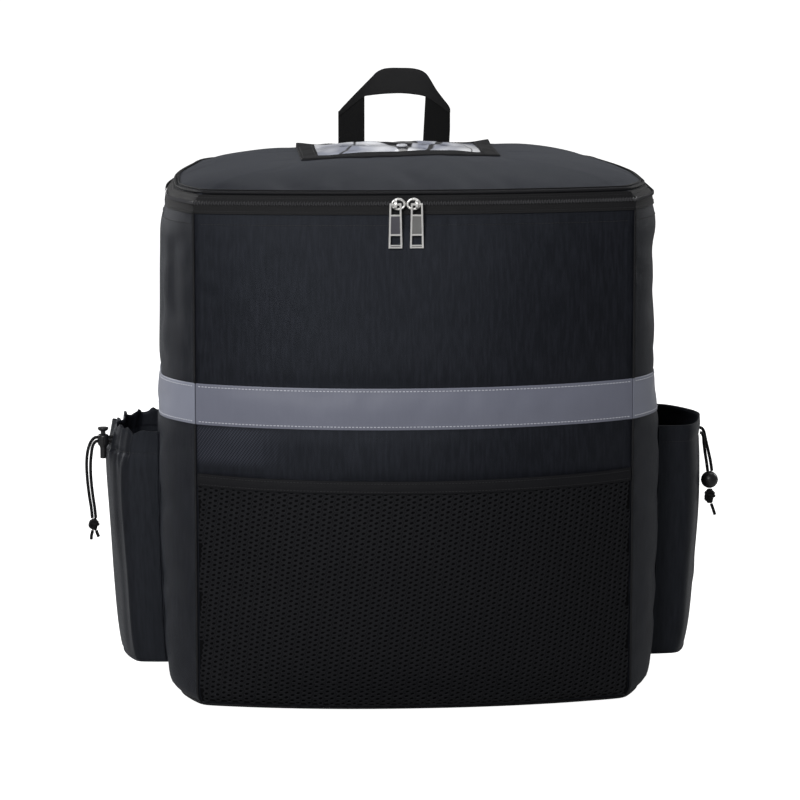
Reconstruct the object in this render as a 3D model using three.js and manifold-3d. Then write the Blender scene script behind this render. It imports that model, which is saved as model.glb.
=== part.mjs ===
// Insulated delivery backpack: a padded box of cloth with a domed zipped lid, a reflective band,
// a mesh pocket on the front, an open pocket on each side, a carry handle and two shoulder straps.
// Millimetres, +Z up, the front faces -Y and +X is to the right of someone who faces the front.

import * as THREE from "three";
import { mergeVertices } from "three/addons/utils/BufferGeometryUtils.js";
import Module from "manifold-3d";

const wasm = await Module();
wasm.setup();

// Body of the bag
const bodyHeight = 460;
const bodyDepth = 270;
const seamHalfWidth = 196;
const sideBulge = 31;
const frontBulge = 42;
const baseInset = 12;
const sideCurveReach = 58;
const sideBackReach = 128;
const sideBackIn = 21;
const backCornerRadius = 42;
const bodyWall = 6;
const touchGap = 0.3;
const frontBulgePower = 2.2;
const levelMargin = 0.5;
const mergeDistance = 1e-4;

// Lid
const lidSkirt = 9;
const lidRise = 20.5;
const lidWall = 5.5;
const lidRisePower = 5.8;
const lidCentreY = 0;

// Piping and zip
const pipingWidth = 3;
const pipingProud = 2.6;
const basePipingHeight = 2;
const tapeHeight = 20;
const tapeThickness = 1.2;
const coilHeight = 6;
const coilThickness = 1.5;

// Reflective band
const bandLow = 261;
const bandHeight = 37;
const bandThickness = 0.8;

// Mesh pocket on the front
const meshPocketTop = 217;
const meshPocketHem = 12;
const meshPocketBase = 7;
const meshThickness = 1.2;
const hemThickness = 2.2;
const meshPocketRoom = 7;

// Side pockets
const pocketLow = 26;
const pocketTop = 241;
const pocketHalfLength = 60;
const pocketReach = 50.5;
const pocketWall = 2;
const pocketSeatGap = 0.5;
const gatherDepth = 2.6;
const gatherCount = 9;
const gatherJag = 4.5;
const gatherColumns = 3;
const gatherTuck = 0.5;
const plainPocketColumns = 16;
const closestLevels = 2.6;

// Carry handle
const webbingThickness = 1.8;
const handleHeight = 94;
const handleHalfSpan = 53.5;
const handleTail = 23;

// Identity window on the lid
const windowWidth = 181;
const windowLength = 118;
const windowBorder = 16;
const windowFrameThickness = 1.4;
const windowFilmThickness = 0.7;
const windowFilmLift = 3.6;
const windowCentreX = -6.5;
const windowCentreY = 10;
const studRadius = 5;
const studHeight = 3.4;
const studAcross = 3;
const studBack = -28;
const windowSteps = 4;

// Zip sliders and pulls
const sliderWidth = 12.6;
const sliderHeight = 10.4;
const sliderThickness = 3;
const sliderPitch = 13.5;
const sliderMiddleX = -9.75;
const bailWidth = 2.6;
const bailHeight = 8.4;
const bailBar = 1.6;
const bailFromMiddle = 2.7;
const pullLength = 40;
const pullTopWidth = 10.6;
const pullBottomWidth = 12.4;
const pullThickness = 2;
const pullBar = 2;
const pullRail = 2;
const pullWindowLength = 12;
const pullHoleLength = 6.6;
const pullRecess = 0.5;
const bailClearance = 0.35;
const sliderSegments = 10;

// Cords and what is on them
const cordDiameter = 3;
const cordSides = 8;
const cordStep = 6.6;
const fewestCordSteps = 3;
const turnedSides = 12;
const beadRings = 8;
const lockLength = 22.4;
const lockRadius = 5.2;
const lockTailRadius = 2.9;
const lockTopZ = 232;
const lockX = -279.4;
const lockY = -20;
const lockBoreRadius = 2.6;
const lockBoreDepth = 12;
const lockChamfer = 1.2;
const lockWaistShare = 0.42;
const lockShoulderShare = 0.52;
const plungerTravel = 3;
const plungerClearance = 0.35;
const plungerFlangeRadius = 5;
const plungerFlangeThickness = 3.2;
const plungerFlangeWaist = 0.7;
const beadRadius = 8;
const knotRadius = 5.2;
const knotLength = 11;

// Shoulder straps
const strapWidth = 62;
const strapThickness = 10;
const strapBulge = 44;
const strapWebbingWidth = 25;
const buckleWidth = 34;
const buckleLength = 26;
const buckleThickness = 3;
const buckleBar = 4;
const strapTongueWrap = 8;
const sewnShare = 0.12;
const strapEdgeRound = 0.9;
const strapEdgeFlat = 0.3;
const wrapCorner = 1;
const wrapCornerLift = 0.45;
const buckleSlotRoom = 1;

// Share of the height, of the front and side bulge and of the base inset, from the floor to the zip
const bodySections = [
  { height: 0.0, front: 0.52, side: 0.45, inset: 1.0 },
  { height: 0.007, front: 0.6, side: 0.58, inset: 0.45 },
  { height: 0.018, front: 0.68, side: 0.68, inset: 0.15 },
  { height: 0.033, front: 0.73, side: 0.76, inset: 0.0 },
  { height: 0.065, front: 0.78, side: 0.84, inset: 0.0 },
  { height: 0.12, front: 0.85, side: 0.9, inset: 0.0 },
  { height: 0.22, front: 0.93, side: 0.95, inset: 0.0 },
  { height: 0.4, front: 1.0, side: 1.0, inset: 0.0 },
  { height: 0.6, front: 0.98, side: 1.0, inset: 0.0 },
  { height: 0.8, front: 0.76, side: 0.98, inset: 0.0 },
  { height: 0.92, front: 0.55, side: 0.92, inset: 0.0 },
  { height: 1.0, front: 0.44, side: 0.68, inset: 0.0 },
];

// Share of the lid's plan that each ring of the dome keeps
const lidRings = [0.985, 0.955, 0.91, 0.83, 0.68, 0.38];

// Plan of a side pocket, half of it: share of the reach outwards and of the half length forwards
const pocketPlan = [
  { out: 0.0, along: 1.0 },
  { out: 0.34, along: 0.985 },
  { out: 0.63, along: 0.94 },
  { out: 0.76, along: 0.8 },
  { out: 0.9, along: 0.45 },
  { out: 1.0, along: 0.0 },
];

// Share of the height between the pocket's base and rim, and of the reach there
const leftPocketLevels = [
  { up: 0.0, reach: 0.82, gather: 0.0 },
  { up: 0.03, reach: 0.87, gather: 0.0 },
  { up: 0.3, reach: 0.92, gather: 0.0 },
  { up: 0.62, reach: 0.97, gather: 0.0 },
  { up: 0.84, reach: 1.0, gather: 0.15 },
  { up: 0.91, reach: 0.95, gather: 0.7 },
  { up: 1.0, reach: 0.84, gather: 1.0 },
];
const rightPocketLevels = [
  { up: 0.0, reach: 0.82, gather: 0.0 },
  { up: 0.03, reach: 0.86, gather: 0.0 },
  { up: 0.3, reach: 0.93, gather: 0.0 },
  { up: 0.62, reach: 0.98, gather: 0.0 },
  { up: 0.84, reach: 1.0, gather: 0.0 },
  { up: 0.91, reach: 0.99, gather: 0.0 },
  { up: 1.0, reach: 1.0, gather: 0.0 },
];

// Handle from the left tail to the right tail: each edge as shares of the half span and of the height
const handleStations = [
  { outerX: -1.0, outerZ: 0.05, innerX: -0.53, innerZ: 0.05 },
  { outerX: -1.0, outerZ: 0.54, innerX: -0.53, innerZ: 0.5 },
  { outerX: -0.72, outerZ: 0.75, innerX: -0.52, innerZ: 0.62 },
  { outerX: -0.3, outerZ: 0.95, innerX: -0.42, innerZ: 0.71 },
  { outerX: -0.1, outerZ: 1.0, innerX: -0.1, innerZ: 0.735 },
  { outerX: 0.45, outerZ: 0.995, innerX: 0.25, innerZ: 0.735 },
  { outerX: 0.62, outerZ: 0.93, innerX: 0.48, innerZ: 0.71 },
  { outerX: 0.83, outerZ: 0.74, innerX: 0.55, innerZ: 0.6 },
  { outerX: 1.0, outerZ: 0.55, innerX: 0.55, innerZ: 0.48 },
  { outerX: 1.0, outerZ: 0.05, innerX: 0.54, innerZ: 0.05 },
];

// Padded part of the right shoulder strap, top to bottom: shares of the body height, of the strap's
// bulge off the back, of the seam half width and of the strap's width and thickness
const strapStations = [
  { up: 0.94, off: 0.0, across: 0.27, width: 1.0, thick: 0.5 },
  { up: 0.9, off: 0.06, across: 0.27, width: 1.0, thick: 0.8 },
  { up: 0.84, off: 0.48, across: 0.275, width: 1.0, thick: 1.0 },
  { up: 0.74, off: 0.88, across: 0.29, width: 1.0, thick: 1.0 },
  { up: 0.62, off: 1.0, across: 0.325, width: 1.0, thick: 1.0 },
  { up: 0.5, off: 0.88, across: 0.375, width: 0.97, thick: 1.0 },
  { up: 0.4, off: 0.62, across: 0.43, width: 0.92, thick: 1.0 },
  { up: 0.325, off: 0.36, across: 0.48, width: 0.8, thick: 0.9 },
  { up: 0.3, off: 0.28, across: 0.5, width: 0.55, thick: 0.5 },
];
const strapEnd = { up: 0.245, off: 0.2, across: 0.54 };
const webbingEnd = { up: 0.075, off: 0.0, across: 0.7 };

// Turned profiles from the axis: shares of the radius and of the length
const studProfile = [
  { out: 0, up: 0 },
  { out: 1, up: 0 },
  { out: 1, up: 0.3 },
  { out: 0.82, up: 0.62 },
  { out: 0.5, up: 0.88 },
  { out: 0, up: 1 },
];
const knotProfile = [
  { out: 0, up: 0 },
  { out: 0.55, up: 0.02 },
  { out: 0.9, up: 0.22 },
  { out: 1, up: 0.5 },
  { out: 0.86, up: 0.78 },
  { out: 0.5, up: 0.98 },
  { out: 0, up: 1 },
];

// Routes of the cords, from the rim of each pocket and the lock down to the knots
const leftInnerRoutes = [
  [[-270.1, -20, 229.2], [-272, -20, 229.2], [-273.8, -20, 229.2]],
  [[-270.9, -20, 225.6], [-272.4, -20, 225.6], [-273.8, -20, 225.6]],
];
const leftCordRoutes = [
  [
    [-285.3, -20, 229.2], [-287.5, -20, 228.6], [-291, -20.2, 224.5], [-293.8, -20.5, 216],
    [-294.9, -20.8, 204], [-294.4, -21, 190], [-292.9, -21, 175], [-291.2, -21, 163], [-290.4, -21, 153.6],
  ],
  [
    [-285.3, -20, 225.6], [-286.6, -20, 225], [-288.9, -20.2, 221.6], [-290.5, -20.5, 213],
    [-291.3, -20.8, 203], [-291, -21, 190], [-289.6, -21, 175], [-288, -21, 163], [-287.2, -21, 153.6],
  ],
];
const leftTailRoutes = [
  [[-290.4, -21, 141.9], [-290.5, -21, 140.4], [-291.3, -21, 137.5], [-291.6, -21, 133.5]],
  [[-286.6, -21, 141.9], [-286.4, -21, 140.4], [-285.6, -21, 138.3], [-284.7, -21, 136]],
];
const rightCordRoutes = [
  [
    [275.95, -8, 229], [277.5, -8, 228.8], [279.6, -8, 226], [281.3, -8.2, 219],
    [283.9, -8.8, 208], [286.2, -9.5, 197.5], [287.6, -10, 188.2],
  ],
  [
    [275.6, -12.4, 225], [277, -12.4, 224.8], [278.6, -12.3, 222], [279.4, -12, 215],
    [280.7, -11.4, 206], [282.3, -10.7, 197], [283.6, -10, 188.2],
  ],
];
const rightTailRoutes = [[[287.4, -10, 156.8], [289, -10, 152.5], [291, -10, 146.5]]];
const leftKnot = { x: -288.8, y: -21, top: 153.2 };
const bead = { x: 285.4, y: -10, z: 180 };
const rightKnot = { x: 285.8, y: -10, top: 171.5, length: 14.2, radius: 5.6 };

// Columns of the body's plan, counted round from the left front seam
const frontColumns = 10;
const sideCurveColumns = 4;
const sideFlatColumns = 1;
const sideBackColumns = 4;
const backCornerColumns = 3;
const backColumns = 2;
const rightSeam = frontColumns;
const sideColumns = sideCurveColumns + sideFlatColumns + sideBackColumns;
const rightBackCorner = rightSeam + sideColumns;
const backStart = rightBackCorner + backCornerColumns;
const backEnd = backStart + backColumns;
const leftBackCorner = backEnd + backCornerColumns;
const planColumns = leftBackCorner + sideColumns;

const materials = {
  cloth: new THREE.MeshStandardMaterial({ color: "#26272b", roughness: 0.82, metalness: 0 }),
  lidCloth: new THREE.MeshStandardMaterial({ color: "#393a41", roughness: 0.8, metalness: 0 }),
  trim: new THREE.MeshStandardMaterial({ color: "#1a1b1e", roughness: 0.85, metalness: 0 }),
  webbing: new THREE.MeshStandardMaterial({ color: "#1d1d20", roughness: 0.85, metalness: 0 }),
  mesh: new THREE.MeshStandardMaterial({ color: "#16171a", roughness: 0.9, metalness: 0 }),
  reflective: new THREE.MeshStandardMaterial({ color: "#74757f", roughness: 0.55, metalness: 0 }),
  film: new THREE.MeshStandardMaterial({ color: "#d5d7de", roughness: 0.15, metalness: 0 }),
  metal: new THREE.MeshStandardMaterial({ color: "#9a9a9e", roughness: 0.3, metalness: 1 }),
  plastic: new THREE.MeshStandardMaterial({ color: "#161617", roughness: 0.5, metalness: 0 }),
  cord: new THREE.MeshStandardMaterial({ color: "#121213", roughness: 0.9, metalness: 0 }),
};

const bag = new THREE.Group();
const cordPieces = new THREE.Group();
bag.add(cordPieces);

function addMesh(name, geometry, material, parent = bag) {
  const mesh = new THREE.Mesh(geometry, material);
  mesh.name = name;
  parent.add(mesh);
  return mesh;
}

// Solids from rows of points

// Collects the triangles of one closed body and leaves out those that have shrunk to a line.
class Skin {
  constructor() {
    this.positions = [];
  }

  triangle(a, b, c) {
    if (Math.min(a.distanceTo(b), b.distanceTo(c), c.distanceTo(a)) < mergeDistance) return;
    this.positions.push(...a.toArray(), ...b.toArray(), ...c.toArray());
  }

  quad(a, b, c, d) {
    this.triangle(a, b, c);
    this.triangle(a, c, d);
  }

  geometry() {
    const geometry = new THREE.BufferGeometry();
    geometry.setAttribute("position", new THREE.Float32BufferAttribute(this.positions, 3));
    const whole = mergeVertices(geometry, mergeDistance).toNonIndexed();
    whole.computeVertexNormals();
    return whole;
  }
}

// A wall between two grids of points of the same size. Seen from outside, the outer grid's columns run
// to the right and its rows run upwards. A closed wall joins its last column to its first.
function wallBetween(outer, inner, closed) {
  const skin = new Skin();
  const columns = outer[0].length;
  const lastRow = outer.length - 1;
  const spans = closed ? columns : columns - 1;
  for (let row = 0; row < lastRow; row += 1) {
    for (let column = 0; column < spans; column += 1) {
      const next = (column + 1) % columns;
      skin.quad(outer[row][column], outer[row][next], outer[row + 1][next], outer[row + 1][column]);
      skin.quad(inner[row][column], inner[row + 1][column], inner[row + 1][next], inner[row][next]);
    }
  }
  for (let column = 0; column < spans; column += 1) {
    const next = (column + 1) % columns;
    skin.quad(outer[lastRow][column], outer[lastRow][next], inner[lastRow][next], inner[lastRow][column]);
    if (outer[0][column].distanceTo(outer[0][next]) > mergeDistance) {
      skin.quad(inner[0][column], inner[0][next], outer[0][next], outer[0][column]);
    }
  }
  if (!closed) {
    const last = columns - 1;
    for (let row = 0; row < lastRow; row += 1) {
      skin.quad(inner[row][0], outer[row][0], outer[row + 1][0], inner[row + 1][0]);
      skin.quad(outer[row][last], inner[row][last], inner[row + 1][last], outer[row + 1][last]);
    }
  }
  return skin.geometry();
}

// A bar through a list of sections, each a ring of points that runs anticlockwise for someone who looks
// back along the bar from its end.
function barThrough(sections, closed) {
  const skin = new Skin();
  const sides = sections[0].length;
  const spans = closed ? sections.length : sections.length - 1;
  for (let station = 0; station < spans; station += 1) {
    const here = sections[station];
    const there = sections[(station + 1) % sections.length];
    for (let side = 0; side < sides; side += 1) {
      const next = (side + 1) % sides;
      skin.quad(here[side], here[next], there[next], there[side]);
    }
  }
  if (!closed) {
    const first = sections[0];
    const last = sections[sections.length - 1];
    for (let side = 1; side < sides - 1; side += 1) {
      skin.triangle(first[0], first[side + 1], first[side]);
      skin.triangle(last[0], last[side], last[side + 1]);
    }
  }
  return skin.geometry();
}

function solidFrom(geometry) {
  const bare = geometry.clone();
  bare.deleteAttribute("normal");
  bare.deleteAttribute("uv");
  const merged = mergeVertices(bare, mergeDistance);
  return new wasm.Manifold(
    new wasm.Mesh({
      numProp: 3,
      vertProperties: merged.attributes.position.array,
      triVerts: new Uint32Array(merged.index.array),
    }),
  );
}

function geometryFrom(solid) {
  const result = solid.getMesh();
  const geometry = new THREE.BufferGeometry();
  geometry.setAttribute("position", new THREE.BufferAttribute(result.vertProperties, 3));
  geometry.setIndex(new THREE.BufferAttribute(result.triVerts, 1));
  const loose = geometry.toNonIndexed();
  loose.computeVertexNormals();
  return loose;
}

function box(width, depth, height, x, y, z) {
  return new THREE.BoxGeometry(width, depth, height).translate(x, y, z);
}

// Plan of the body

function mix(from, to, share) {
  return from + (to - from) * share;
}

function sectionAt(z) {
  const share = THREE.MathUtils.clamp(z / bodyHeight, 0, 1);
  const upper = Math.max(1, bodySections.findIndex((row) => row.height >= share));
  const above = bodySections[upper];
  const below = bodySections[upper - 1];
  const between = (share - below.height) / (above.height - below.height);
  return {
    front: mix(below.front, above.front, between) * frontBulge,
    side: mix(below.side, above.side, between) * sideBulge,
    inset: mix(below.inset, above.inset, between) * baseInset,
  };
}

// Half width of the body at a height and a depth, on its facets.
function halfWidthAt(z, y) {
  const side = rightSidePlan(sectionAt(z));
  const upper = Math.max(1, side.findIndex((point) => point.y >= y));
  const before = side[upper - 1];
  const after = side[upper];
  return mix(before.x, after.x, (y - before.y) / (after.y - before.y));
}

function rightSidePlan(section) {
  const seam = seamHalfWidth - section.inset;
  const frontY = -bodyDepth / 2 + section.inset;
  const backY = bodyDepth / 2 - section.inset;
  const halfWidth = seam + section.side;
  const curveEnd = frontY + sideCurveReach;
  const cornerStart = backY - backCornerRadius;
  const flatEnd = cornerStart - sideBackReach;
  const points = [];
  for (let i = 0; i < sideCurveColumns; i += 1) {
    const share = i / sideCurveColumns;
    const out = section.side * Math.sin((share * Math.PI) / 2);
    points.push(new THREE.Vector2(seam + out, mix(frontY, curveEnd, share)));
  }
  for (let i = 0; i < sideFlatColumns; i += 1) {
    points.push(new THREE.Vector2(halfWidth, mix(curveEnd, flatEnd, i / sideFlatColumns)));
  }
  for (let i = 0; i < sideBackColumns; i += 1) {
    const share = i / sideBackColumns;
    const back = sideBackIn * (1 - Math.cos((share * Math.PI) / 2));
    points.push(new THREE.Vector2(halfWidth - back, mix(flatEnd, cornerStart, share)));
  }
  for (let i = 0; i <= backCornerColumns; i += 1) {
    const angle = ((i / backCornerColumns) * Math.PI) / 2;
    const x = halfWidth - sideBackIn - backCornerRadius * (1 - Math.cos(angle));
    points.push(new THREE.Vector2(x, cornerStart + backCornerRadius * Math.sin(angle)));
  }
  return points;
}

// The body's outline at a height, anticlockwise from above, starting at the left front seam.
function planAt(z) {
  const section = sectionAt(z);
  const seam = seamHalfWidth - section.inset;
  const frontY = -bodyDepth / 2 + section.inset;
  const points = [];
  for (let i = 0; i < frontColumns; i += 1) {
    const share = -1 + (2 * i) / frontColumns;
    const bulge = section.front * (1 - Math.abs(share) ** frontBulgePower);
    points.push(new THREE.Vector2(seam * share, frontY - bulge));
  }
  const right = rightSidePlan(section);
  const left = right.map((point) => new THREE.Vector2(-point.x, point.y)).reverse();
  const backRight = right[right.length - 1];
  const back = [];
  for (let i = 1; i < backColumns; i += 1) {
    back.push(new THREE.Vector2(backRight.x * (1 - (2 * i) / backColumns), backRight.y));
  }
  return [...points, ...right, ...back, ...left.slice(0, -1)];
}

// Moves an outline outwards by a distance, or inwards by a negative one, with mitred corners.
function offsetPlan(points, distanceAt, closed) {
  const count = points.length;
  return points.map((point, i) => {
    const before = closed || i > 0 ? points[(i + count - 1) % count] : null;
    const after = closed || i < count - 1 ? points[(i + 1) % count] : null;
    const along = [];
    if (before) along.push(point.clone().sub(before).normalize());
    if (after) along.push(after.clone().sub(point).normalize());
    const middle = along.reduce((sum, step) => sum.add(step), new THREE.Vector2()).normalize();
    const mitre = middle.dot(along[0]);
    const outwards = new THREE.Vector2(middle.y, -middle.x);
    return point.clone().addScaledVector(outwards, distanceAt(i) / mitre);
  });
}

function raise(points, z) {
  return points.map((point) => new THREE.Vector3(point.x, point.y, z));
}

// Part of the body's outline between two columns, cut back by a length at each end.
function planRun(z, first, last, cutBack) {
  const plan = planAt(z);
  const run = [];
  for (let i = first; i <= last; i += 1) {
    run.push(plan[(i + planColumns) % planColumns].clone());
  }
  const end = run.length - 1;
  run[0].lerp(run[1], cutBack / run[0].distanceTo(run[1]));
  run[end].lerp(run[end - 1], cutBack / run[end].distanceTo(run[end - 1]));
  return run;
}

// Heights of a band that lies on the body: its two edges and every level of the body between them. The
// body has a level at each section and at each edge that is sewn on.
const sewnLevels = [
  basePipingHeight,
  basePipingHeight + pipingWidth,
  meshPocketBase,
  meshPocketTop - meshPocketHem,
  meshPocketTop,
  bandLow,
  bandLow + bandHeight,
  bodyHeight - tapeHeight / 2,
];

function levelsBetween(low, high) {
  const heights = [...bodySections.map((row) => row.height * bodyHeight), ...sewnLevels];
  const inside = heights.filter((height) => height > low + levelMargin && height < high - levelMargin);
  return [low, ...inside.sort((a, b) => a - b), high];
}

// A band that lies on the outside of the body between two columns and two heights.
function bodyBand({ first, last, cutBack = 0, levels, innerAt, outerAt }) {
  const outer = [];
  const inner = [];
  for (const z of levels) {
    const run = planRun(z, first, last, cutBack);
    outer.push(raise(offsetPlan(run, (i) => outerAt(i, z), false), z));
    inner.push(raise(offsetPlan(run, (i) => innerAt(i, z), false), z));
  }
  return wallBetween(outer, inner, false);
}

// A corded edge that runs right round the body.
function bodyRing(low, high, proud) {
  const outer = [];
  const inner = [];
  for (const z of levelsBetween(low, high)) {
    const plan = planAt(z);
    outer.push(raise(offsetPlan(plan, () => proud, true), z));
    inner.push(raise(offsetPlan(plan, () => touchGap, true), z));
  }
  return wallBetween(outer, inner, true);
}

// Body and lid

function bagBody() {
  const outer = [];
  const inner = [];
  const floor = planAt(0);
  outer.push(floor.map(() => new THREE.Vector3(0, 0, 0)));
  inner.push(floor.map(() => new THREE.Vector3(0, 0, bodyWall)));
  const rimZ = bodyHeight - touchGap / 2;
  const levels = [...levelsBetween(0, bodyHeight).slice(0, -1), rimZ];
  for (const z of levels) {
    const plan = planAt(z);
    outer.push(raise(plan, z));
    inner.push(raise(offsetPlan(plan, () => -bodyWall, true), Math.max(z, bodyWall)));
  }
  return wallBetween(outer, dropLowRows(inner, levels), true);
}

// The inner wall starts at the inside of the base, so rows lower than that spread over the base.
function dropLowRows(inner, levels) {
  const lowRows = levels.filter((z) => z < bodyWall).length;
  const edge = inner[lowRows + 1];
  for (let row = 1; row <= lowRows; row += 1) {
    inner[row] = edge.map((point) => {
      const spread = new THREE.Vector3(0, 0, bodyWall);
      return spread.lerp(new THREE.Vector3(point.x, point.y, bodyWall), row / (lowRows + 1));
    });
  }
  return inner;
}

function lid() {
  const plan = planAt(bodyHeight);
  const innerPlan = offsetPlan(plan, () => -lidWall, true);
  const bottom = bodyHeight + touchGap / 2;
  const skirtTop = bodyHeight + lidSkirt;
  const centre = new THREE.Vector2(0, lidCentreY);
  const outer = [raise(plan, bottom), raise(plan, skirtTop)];
  const inner = [raise(innerPlan, bottom), raise(innerPlan, skirtTop - lidWall)];
  for (const ring of [...lidRings, 0]) {
    const z = skirtTop + lidRise * (1 - ring ** lidRisePower);
    const shrink = (point) => centre.clone().lerp(point, ring);
    outer.push(raise(plan.map(shrink), z));
    inner.push(raise(innerPlan.map(shrink), z - lidWall));
  }
  return wallBetween(outer, inner, true);
}

// Height of the lid's outer face over a point of its plan.
function lidTopAt(x, y) {
  const plan = planAt(bodyHeight);
  const dx = x;
  const dy = y - lidCentreY;
  let ring = 0;
  plan.forEach((from, i) => {
    const to = plan[(i + 1) % planColumns];
    const edgeX = to.x - from.x;
    const edgeY = to.y - from.y;
    const reach = from.x * edgeY - (from.y - lidCentreY) * edgeX;
    ring = Math.max(ring, (dx * edgeY - dy * edgeX) / reach);
  });
  return bodyHeight + lidSkirt + lidRise * (1 - ring ** lidRisePower);
}

addMesh("bag_body", bagBody(), materials.cloth);
addMesh("lid", lid(), materials.lidCloth);

const lidPipingLow = bodyHeight + lidSkirt - pipingWidth / 2;
addMesh("lid_piping", bodyRing(lidPipingLow, lidPipingLow + pipingWidth, pipingProud), materials.trim);
const basePiping = bodyRing(basePipingHeight, basePipingHeight + pipingWidth, pipingProud);
addMesh("base_piping", basePiping, materials.trim);

// Vertical corded seams at the front corners, from the base piping to the zip

function seamPiping(column) {
  const low = basePipingHeight + pipingWidth + touchGap;
  const high = bodyHeight - tapeHeight / 2 - touchGap;
  const sections = levelsBetween(low, high).map((z) => {
    const plan = planAt(z);
    const ring = (distance) => offsetPlan(plan, () => distance, true);
    const seat = ring(touchGap);
    const back = ring(touchGap)[column];
    const before = seat[(column + planColumns - 1) % planColumns];
    const after = seat[(column + 1) % planColumns];
    const half = pipingWidth / 2;
    const left = back.clone().lerp(before, half / back.distanceTo(before));
    const right = back.clone().lerp(after, half / back.distanceTo(after));
    const tip = ring(pipingProud)[column];
    return [left, back, right, tip].map((point) => new THREE.Vector3(point.x, point.y, z)).reverse();
  });
  return barThrough(sections, false);
}

addMesh("seam_piping_left", seamPiping(0), materials.trim);
addMesh("seam_piping_right", seamPiping(rightSeam), materials.trim);

// Reflective band, in three lengths that stop at the corded seams

const seamClearance = pipingWidth / 2 + touchGap;
const bandRuns = {
  reflective_band_front: [0, rightSeam],
  reflective_band_right: [rightSeam, rightBackCorner],
  reflective_band_left: [leftBackCorner - planColumns, 0],
};
for (const [name, [first, last]] of Object.entries(bandRuns)) {
  const band = bodyBand({
    first,
    last,
    cutBack: seamClearance,
    levels: levelsBetween(bandLow, bandLow + bandHeight),
    innerAt: () => touchGap,
    outerAt: () => touchGap + bandThickness,
  });
  addMesh(name, band, materials.reflective);
}

// Zip round the front and both sides

const zipFirst = leftBackCorner - planColumns;
const zipLast = rightBackCorner;
const coilSeat = 2 * touchGap + tapeThickness;

function zipBand(low, high, inner, outer) {
  return bodyBand({
    first: zipFirst,
    last: zipLast,
    levels: levelsBetween(low, high),
    innerAt: () => inner,
    outerAt: () => outer,
  });
}

const tapeLow = bodyHeight - tapeHeight / 2;
const tapeHigh = lidPipingLow - touchGap;
addMesh("zip_tape", zipBand(tapeLow, tapeHigh, touchGap, touchGap + tapeThickness), materials.trim);
const coilLow = bodyHeight - coilHeight / 2;
const zipCoil = zipBand(coilLow, coilLow + coilHeight, coilSeat, coilSeat + coilThickness);
addMesh("zip_coil", zipCoil, materials.plastic);

// Mesh pocket, open at its hem and standing off the front in the middle

function pocketRoomAt(i, z) {
  const across = -1 + (2 * i) / frontColumns;
  const up = THREE.MathUtils.clamp((z - meshPocketBase) / (meshPocketTop - meshPocketBase), 0, 1);
  return touchGap + meshPocketRoom * (1 - across ** 2) * Math.sin((up * Math.PI) / 2);
}

function frontPanel(low, high, thickness) {
  return bodyBand({
    first: 0,
    last: rightSeam,
    cutBack: seamClearance,
    levels: levelsBetween(low, high),
    innerAt: pocketRoomAt,
    outerAt: (i, z) => pocketRoomAt(i, z) + thickness,
  });
}

const hemLow = meshPocketTop - meshPocketHem;
addMesh("mesh_pocket", frontPanel(meshPocketBase, hemLow - touchGap, meshThickness), materials.mesh);
addMesh("mesh_pocket_hem", frontPanel(hemLow, meshPocketTop, hemThickness), materials.trim);

// Side pockets, made for the right side and mirrored for the left

function pocketCurve() {
  const front = pocketPlan.map((row) => new THREE.Vector3(row.out, -row.along, 0));
  const rear = pocketPlan.slice(0, -1).map((row) => new THREE.Vector3(row.out, row.along, 0));
  return new THREE.CatmullRomCurve3([...front, ...rear.reverse()], false, "centripetal");
}

function pocketLevelAt(levels, up) {
  const upper = Math.max(1, levels.findIndex((row) => row.up >= up - 1e-6));
  const above = levels[upper];
  const below = levels[upper - 1];
  const between = (up - below.up) / (above.up - below.up);
  return { reach: mix(below.reach, above.reach, between), gather: mix(below.gather, above.gather, between) };
}

function pocketShares(levels) {
  const height = pocketTop - pocketLow;
  const onBody = levelsBetween(pocketLow, pocketTop).map((z) => (z - pocketLow) / height);
  const all = [...levels.map((row) => row.up), ...onBody].sort((a, b) => a - b);
  return all.filter((share, i) => i === 0 || (share - all[i - 1]) * height > closestLevels);
}

function sidePocket(levels, columns, side) {
  const shape = pocketCurve().getSpacedPoints(columns);
  const height = pocketTop - pocketLow;
  const outer = [];
  const inner = [];
  const rowAt = (share, thickness, z) => {
    const level = pocketLevelAt(levels, share);
    return shape.map((point, i) => {
      const round = i / columns;
      const free = Math.sin(round * Math.PI);
      const ripple = Math.sin(round * gatherCount * 2 * Math.PI) * level.gather * Math.min(1, 2 * free);
      const reach = pocketReach * level.reach - thickness + ripple * gatherDepth;
      const half = pocketHalfLength - thickness - ripple * gatherDepth * gatherTuck;
      const jag = Math.cos(round * gatherCount * 2 * Math.PI) * gatherJag * level.gather * free;
      const lift = share === 1 ? jag : 0;
      const seat = halfWidthAt(z, half * point.y) + pocketSeatGap;
      return new THREE.Vector3(seat + Math.max(0, reach * point.x), half * point.y, z + lift);
    });
  };
  const flat = (thickness, z) => rowAt(0, thickness, z).map(
    (point) => new THREE.Vector3(halfWidthAt(z, point.y) + pocketSeatGap, point.y, z),
  );
  outer.push(flat(0, pocketLow));
  inner.push(flat(pocketWall, pocketLow + pocketWall));
  for (const share of pocketShares(levels)) {
    const z = pocketLow + share * height;
    outer.push(rowAt(share, 0, z));
    const innerZ = Math.max(z, pocketLow + pocketWall + share * pocketWall);
    inner.push(rowAt(share, pocketWall, innerZ));
  }
  const turn = (rows) => rows.map((row) => row.map((point) => point.setX(-point.x)).reverse());
  return side > 0 ? wallBetween(outer, inner, false) : wallBetween(turn(outer), turn(inner), false);
}

addMesh("side_pocket_left", sidePocket(leftPocketLevels, gatherCount * gatherColumns, -1), materials.cloth);
addMesh("side_pocket_right", sidePocket(rightPocketLevels, plainPocketColumns, 1), materials.cloth);

// Carry handle: one length of webbing that stands up from the back of the bag

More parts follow.
